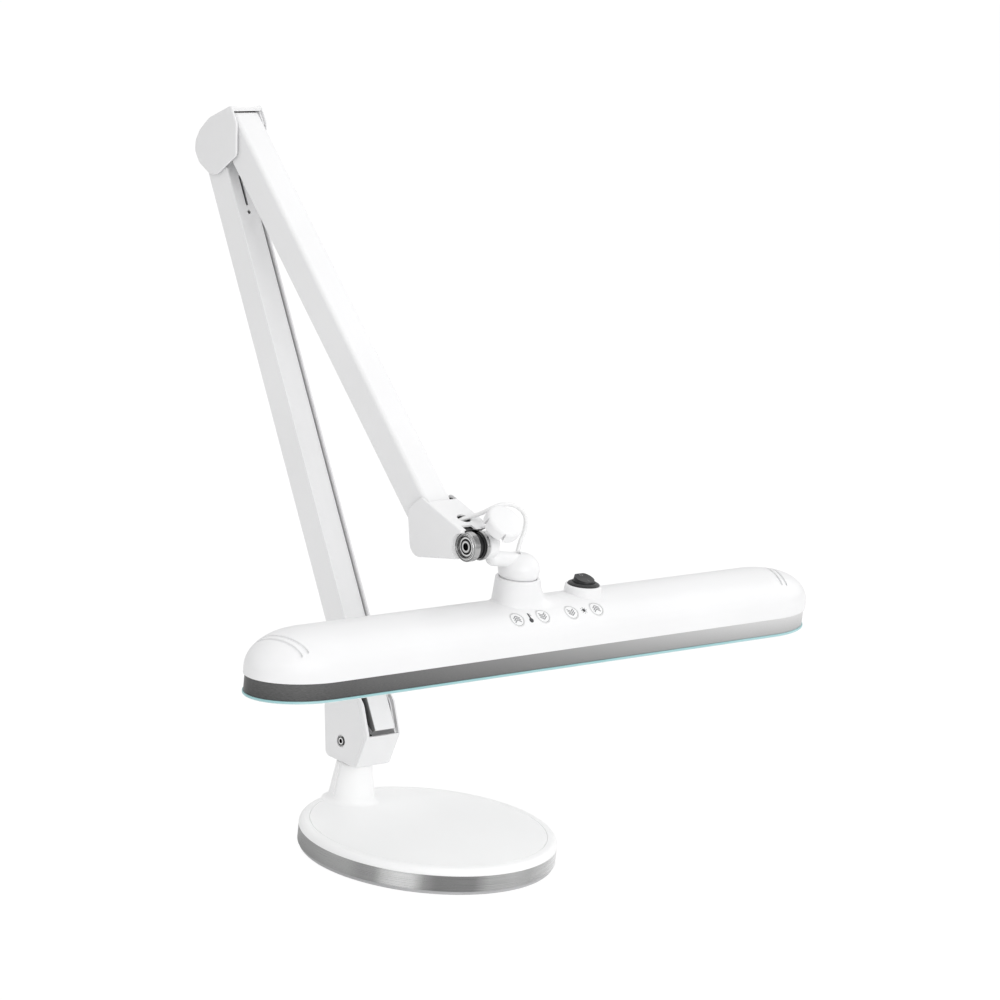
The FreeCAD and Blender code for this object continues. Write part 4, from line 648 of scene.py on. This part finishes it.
def softened(node, material, edge):
    """A solid's own form with smooth curves and its sharp edges rounded by edge."""
    mesh = frame["nodes"][node].data.copy()
    mesh.name = node + "_form"
    shape = bmesh.new()
    shape.from_mesh(mesh)
    bmesh.ops.remove_doubles(shape, verts=shape.verts, dist=SAME_SPOT)
    if node == "head_shell":
        reshaped_shell(shape)
    bmesh.ops.dissolve_degenerate(shape, edges=shape.edges, dist=SAME_SPOT)
    bmesh.ops.dissolve_limit(shape, angle_limit=FLAT_ANGLE, verts=shape.verts,
                             edges=shape.edges)
    shape.to_mesh(mesh)
    shape.free()
    for attribute in ("custom_normal", "sharp_face", "sharp_edge"):
        if attribute in mesh.attributes:
            mesh.attributes.remove(mesh.attributes[attribute])
    mesh.shade_smooth()
    mesh.set_sharp_from_angle(angle=SHARP_ANGLE)
    piece = link(node + "_form", mesh, material)
    if edge > 0:
        bevel = piece.modifiers.new("soft_edge", "BEVEL")
        bevel.width = edge
        bevel.segments = 3
        bevel.limit_method = "ANGLE"
        bevel.angle_limit = SHARP_ANGLE
        bevel.harden_normals = True
        bevel.use_clamp_overlap = True
    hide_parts(node)
    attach(piece, BODY_OF[node])


def paint(node, material):
    """Give a solid that stays its finish."""
    mesh = frame["nodes"][node].data
    mesh.materials.clear()
    mesh.materials.append(material)


def make_solid_pieces(finish):
    """Every solid of the lamp gets its finish; those in view get softened edges."""
    shown = {
        "base_cover": ("base_white", 0.0003), "base_trim_band": ("brushed_band", 0.0002),
        "base_pad": ("pad_rubber", 0.0), "bracket_cover": ("white_moulding", 0.0003),
        # The bracket screws' finish is dark and light painted reflection rings.
        # The bracket's cradle is white paint so that the gap where the lower arm's web meets the
        # bracket reads light instead of dark: painted light.
        "bracket_cradle": ("white_paint", 0.0001), "bracket_screws": ("screw_painted_rings", 0.0001),
        "lower_arm_channel": ("white_paint", 0.0002),
        "lower_inner_channel": ("gap_shaded_paint", 0.0002),
        "upper_arm_channel": ("white_paint", 0.0002),
        "upper_inner_channel": ("white_paint", 0.0002), "elbow_cover": ("white_moulding", 0.0004),
        "head_bracket_cover": ("white_moulding", 0.0003), "nose_plug": ("black_moulding", 0.0002),
        "barrel_front": ("chrome", 0.00015), "barrel_rear": ("chrome", 0.00015),
        "knuckle_bolt": ("chrome", 0.00015), "swivel_elbow": ("white_moulding", 0.0004),
        "tension_knob": ("white_moulding", 0.0002), "head_shell": ("white_moulding", 0.0003),
        "light_frame": ("light_band", 0.0002), "diffuser": ("opal", 0.0001),
        "switch_body": ("black_moulding", 0.0002), "rocker": ("black_moulding", 0.0003),
        "thrust_washer": ("black_moulding", 0.0001),
    }
    for number in range(1, 5):
        shown["button_%d" % number] = ("white_moulding", 0.00015)
    plain = {
        "base_weight": "cast_weight", "base_screws": "plain_steel", "post_tube": "plain_steel",
        "post_bush": "nylon", "swivel_pin": "plain_steel", "pin_circlip": "plain_steel",
        "pin_nut": "plain_steel", "bracket_pins": "plain_steel",
        "lower_spring_anchor": "plain_steel", "elbow_plates": "white_paint",
        "elbow_pins": "plain_steel", "upper_spring_anchor": "plain_steel",
        # The head bracket's fork is black moulding so that the hole round the cord reads dark:
        # painted shade in the hole.
        "head_bracket_fork": "black_moulding", "head_bracket_pins": "plain_steel",
        "friction_rings": "black_moulding", "knob_stud": "plain_steel",
        "swivel_tube": "plain_steel", "swivel_nut": "plain_steel", "neck_bush": "black_moulding",
        "heat_plate": "satin_aluminium", "led_board": "white_board", "led_chips": "led_face",
        "head_screws": "plain_steel", "led_driver": "black_moulding",
        "control_board": "white_board", "key_switches": "black_moulding",
    }
    for node, (name, edge) in shown.items():
        softened(node, finish[name], edge)
    for node, name in plain.items():
        paint(node, finish[name])


# Cord; its corners are in millimetres, as x, f and z

CORD_DIAMETER = 0.0032
CORD_POINTS = (
    (-7.6, 88.76, 252.65), (-2.6, 90.4, 256.6), (4.0, 93.4, 259.3), (9.4, 97.4, 261.8),
    (14.4, 100.8, 265.2), (20.0, 103.0, 268.4), (26.4, 104.6, 269.9), (33.0, 106.2, 269.2),
    (39.8, 107.8, 266.0), (44.6, 108.5, 260.6), (46.0, 108.5, 253.8), (44.6, 108.5, 247.0),
    (41.6, 108.5, 240.4), (40.6, 108.5, 234.6),
)


def make_head_cord(finish):
    """Thin cord that loops from the head bracket to the swivel elbow and bends between them."""
    curve = bpy.data.curves.new("cord_line", "CURVE")
    curve.dimensions = "3D"
    curve.bevel_resolution = 5
    curve.resolution_u = 10
    curve.use_fill_caps = True
    spline = curve.splines.new("NURBS")
    spline.points.add(len(CORD_POINTS) - 1)
    for point, (x, f, z) in zip(spline.points, CORD_POINTS):
        point.co = (*at(x / 1000, f / 1000, z / 1000), 1.0)
    spline.order_u = 3
    spline.use_endpoint_u = True
    line = link("cord_line", curve)
    middle = [tuple(corner.co) for corner in plain_mesh(line).vertices]
    curve.bevel_depth = CORD_DIAMETER / 2
    tube = plain_mesh(line)
    bpy.data.objects.remove(line)
    shape = bmesh.new()
    shape.from_mesh(tube)
    bmesh.ops.remove_doubles(shape, verts=shape.verts, dist=1e-6)
    bmesh.ops.recalc_face_normals(shape, faces=shape.faces)
    shape.to_mesh(tube)
    shape.free()
    tube.name = "head_cord_loop"
    tube.shade_smooth()
    piece = link("head_cord_loop", tube, finish["cord_sheath"])
    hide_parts("head_cord")
    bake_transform(piece)


# Balance springs, wound on their own pitch

COIL = {"Radius": 0.0032, "Height": 0.082, "Turns": 39.0, "Wire": 0.00098}
COIL_START = 0.0038
PLAIN_COIL_ENDS = (0.0028, 0.0882)
PLAIN_COIL_INSIDE = 0.0025


def spring_tree():
    """Geometry nodes that wind a closed coil of round wire."""
    tree = bpy.data.node_groups.new("wound_coil", "GeometryNodeTree")
    for name, kind in (("Radius", "NodeSocketFloat"), ("Height", "NodeSocketFloat"),
                       ("Turns", "NodeSocketFloat"), ("Wire", "NodeSocketFloat"),
                       ("Material", "NodeSocketMaterial")):
        tree.interface.new_socket(name, in_out="INPUT", socket_type=kind)
    tree.interface.new_socket("Geometry", in_out="OUTPUT", socket_type="NodeSocketGeometry")
    start = tree.nodes.new("NodeGroupInput")
    end = tree.nodes.new("NodeGroupOutput")
    spiral = tree.nodes.new("GeometryNodeCurveSpiral")
    spiral.inputs["Resolution"].default_value = 18
    tree.links.new(start.outputs["Turns"], spiral.inputs["Rotations"])
    tree.links.new(start.outputs["Radius"], spiral.inputs["Start Radius"])
    tree.links.new(start.outputs["Radius"], spiral.inputs["End Radius"])
    tree.links.new(start.outputs["Height"], spiral.inputs["Height"])
    ring = tree.nodes.new("GeometryNodeCurvePrimitiveCircle")
    ring.inputs["Resolution"].default_value = 8
    tree.links.new(start.outputs["Wire"], ring.inputs["Radius"])
    sweep = tree.nodes.new("GeometryNodeCurveToMesh")
    sweep.inputs["Fill Caps"].default_value = True
    tree.links.new(spiral.outputs[0], sweep.inputs["Curve"])
    tree.links.new(ring.outputs[0], sweep.inputs["Profile Curve"])
    real = tree.nodes.new("GeometryNodeRealizeInstances")
    tree.links.new(sweep.outputs[0], real.inputs[0])
    coat = tree.nodes.new("GeometryNodeSetMaterial")
    tree.links.new(real.outputs[0], coat.inputs["Geometry"])
    tree.links.new(start.outputs["Material"], coat.inputs["Material"])
    tree.links.new(coat.outputs[0], end.inputs[0])
    return tree


def grown(name, tree, values, turn):
    """Plain mesh that a tree makes from its named inputs, turned into place."""
    seed = link(name + "_seed", bpy.data.meshes.new(name + "_seed"))
    growth = seed.modifiers.new("growth", "NODES")
    growth.node_group = tree
    sockets = {item.name: item.identifier for item in tree.interface.items_tree
               if item.item_type == "SOCKET" and item.in_out == "INPUT"}
    for key, value in values.items():
        growth[sockets[key]] = value
    mesh = plain_mesh(seed)
    mesh.name = name
    mesh.transform(turn)
    mesh.update()
    bpy.data.objects.remove(seed)
    return link(name, mesh)


def make_springs(finish):
    """The coil, the eye and the end loop of both balance springs."""
    tree = spring_tree()
    steel = finish["plain_steel"]
    for name, (body, f, z, lean) in SPRINGS.items():
        turn = Matrix.Translation(at(0.0, f, z)) @ Matrix.Rotation(math.radians(-lean), 4, "X")
        piece = grown(name + "_coil", tree, {**COIL, "Material": steel},
                      turn @ Matrix.Translation((0, 0, COIL_START)))
        hooks = spring_hooks(name, steel)
        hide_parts(name)
        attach(piece, body)
        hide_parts(name)
        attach(hooks, body)


def spring_hooks(node, material):
    """The spring's eye and end loop: its solid without the plain coil between them."""
    mesh = frame["nodes"][node].data.copy()
    mesh.name = node + "_hooks"
    f, z, lean = SPRINGS[node][1:]
    back = Matrix.Rotation(math.radians(lean), 4, "X") @ Matrix.Translation(-at(0, f, z))
    shape = bmesh.new()
    shape.from_mesh(mesh)
    bmesh.ops.remove_doubles(shape, verts=shape.verts, dist=SAME_SPOT)
    coil = []
    for face in shape.faces:
        spots = [back @ corner.co for corner in face.verts]
        out = max(math.hypot(s.x, s.y) for s in spots)
        low, high = min(s.z for s in spots), max(s.z for s in spots)
        if (low > PLAIN_COIL_ENDS[0] and high < PLAIN_COIL_ENDS[1]
                and out > PLAIN_COIL_INSIDE):
            coil.append(face)
    bmesh.ops.delete(shape, geom=coil, context="FACES")
    shape.to_mesh(mesh)
    shape.free()
    return link(node + "_hooks", mesh, material)


# Printed marks; the rocker's two faces are given by how far ahead of its middle their marks
# lie, how high above its foot, and how much they rise per metre backwards

SHOULDER_PRINT_LIFT = 0.00006
ROCKER_PRINT_LIFT = 0.00012
ROCKER_BACK_FACE = (-0.0036, 0.00418, 0.292)
ROCKER_FRONT_FACE = (0.0046, 0.00212, 0.205)


def on_slope(x, across):
    """Point on the shell's front shoulder; across runs up the slope from the buttons."""
    turn = math.asin((BUTTON_OFFSET - SHOULDER_SIDE) / SHOULDER_RADIUS)
    turn -= across / SHOULDER_RADIUS
    reach = SHOULDER_RADIUS + SHOULDER_PRINT_LIFT
    return at(x, HEAD_F + SHOULDER_SIDE + reach * math.sin(turn),
              CROWN_Z - SHOULDER_DROP + reach * math.cos(turn))


def on_rocker(u, v, face):
    """Point on one of the rocker's two flat faces; v runs backwards."""
    ahead, rise, slope = face
    return at(ROCKER_X + u, HEAD_F + ahead - v,
              CROWN_Z + ROCKER_RISE + rise + v * slope + ROCKER_PRINT_LIFT)


def printed(name, strokes, material, body, place):
    """Thin ink from closed outlines in a plane, laid on a surface by place."""
    shape = bmesh.new()
    for outline in strokes:
        shape.faces.new([shape.verts.new((u, v, 0.0)) for u, v in outline])
    bmesh.ops.triangulate(shape, faces=shape.faces)
    bmesh.ops.subdivide_edges(shape, edges=shape.edges, cuts=2, use_grid_fill=True)
    for corner in shape.verts:
        corner.co = place(corner.co.x, corner.co.y)
    mesh = bpy.data.meshes.new(name)
    shape.to_mesh(mesh)
    shape.free()
    piece = link(name, mesh, material)
    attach(piece, body)


def bar(start, end, width):
    """Outline of a straight stroke."""
    run = Vector((end[0] - start[0], end[1] - start[1])).normalized() * (width / 2)
    side = Vector((-run.y, run.x))
    a, b = Vector(start), Vector(end)
    return [tuple(a - side), tuple(b - side), tuple(b + side), tuple(a + side)]


def ring_strokes(radius, width):
    """A thin ring as short four-sided outlines."""
    strokes, count = [], 48
    inner, outer = radius - width / 2, radius + width / 2
    for i in range(count):
        a = 2 * math.pi * i / count
        b = 2 * math.pi * (i + 1) / count
        strokes.append([(inner * math.cos(a), inner * math.sin(a)),
                        (outer * math.cos(a), outer * math.sin(a)),
                        (outer * math.cos(b), outer * math.sin(b)),
                        (inner * math.cos(b), inner * math.sin(b))])
    return strokes


def disc(u, v, radius):
    """Outline of a filled dot."""
    turns = [2 * math.pi * i / 20 for i in range(20)]
    return [(u + radius * math.cos(turn), v + radius * math.sin(turn)) for turn in turns]


def chevrons(way):
    """Three stacked chevrons pointing up (1) or down (-1)."""
    strokes = []
    for rise in (-0.0017, 0.0, 0.0017):
        tip = (0.0, (rise + 0.0013) * way)
        for side in (-1, 1):
            foot = (side * 0.0030, (rise - 0.0010) * way)
            strokes.append(bar(foot, tip, 0.0008))
    return strokes


def make_marks(finish):
    """Button rings and arrows, a thermometer, a sun, and the rocker's signs."""
    for number, (x, way) in enumerate(zip(BUTTON_PLACES, (1, -1, -1, 1)), 1):
        printed("button_%d_print" % number, ring_strokes(0.0054, 0.0003) + chevrons(way),
                finish["pale_print"], "button_%d" % number,
                lambda u, v, x=x: on_slope(x + u, v))
    warmth_x = (BUTTON_PLACES[0] + BUTTON_PLACES[1]) / 2
    stem = [bar((0.0, -0.0012), (0.0, 0.0040), 0.0014), disc(0.0, -0.0024, 0.0019),
            bar((0.0011, 0.0030), (0.0021, 0.0030), 0.0004),
            bar((0.0011, 0.0018), (0.0021, 0.0018), 0.0004)]
    printed("warmth_print", stem, finish["grey_print"], "head",
            lambda u, v: on_slope(warmth_x + u, v))
    sun_x = (BUTTON_PLACES[2] + BUTTON_PLACES[3]) / 2
    sun = [disc(0.0, 0.0, 0.0015)]
    near, far = 0.0019, 0.0029
    for i in range(8):
        turn = math.pi * i / 4
        sun.append(bar((near * math.cos(turn), near * math.sin(turn)),
                       (far * math.cos(turn), far * math.sin(turn)), 0.0004))
    printed("brightness_print", sun, finish["grey_print"], "head",
            lambda u, v: on_slope(sun_x + u, v))
    printed("rocker_off_print", ring_strokes(0.0013, 0.0004), finish["pale_print"], "rocker",
            lambda u, v: on_rocker(u, v, ROCKER_BACK_FACE))
    printed("rocker_on_print", [bar((0.0, -0.0013), (0.0, 0.0013), 0.0005)],
            finish["pale_print"], "rocker", lambda u, v: on_rocker(u, v, ROCKER_FRONT_FACE))


aim_camera()
build_surroundings()
build_floor()
hang_panels()
finishes = make_finishes()
make_head_cord(finishes)
make_solid_pieces(finishes)
make_springs(finishes)
make_marks(finishes)

scene.view_settings.view_transform = "Standard"
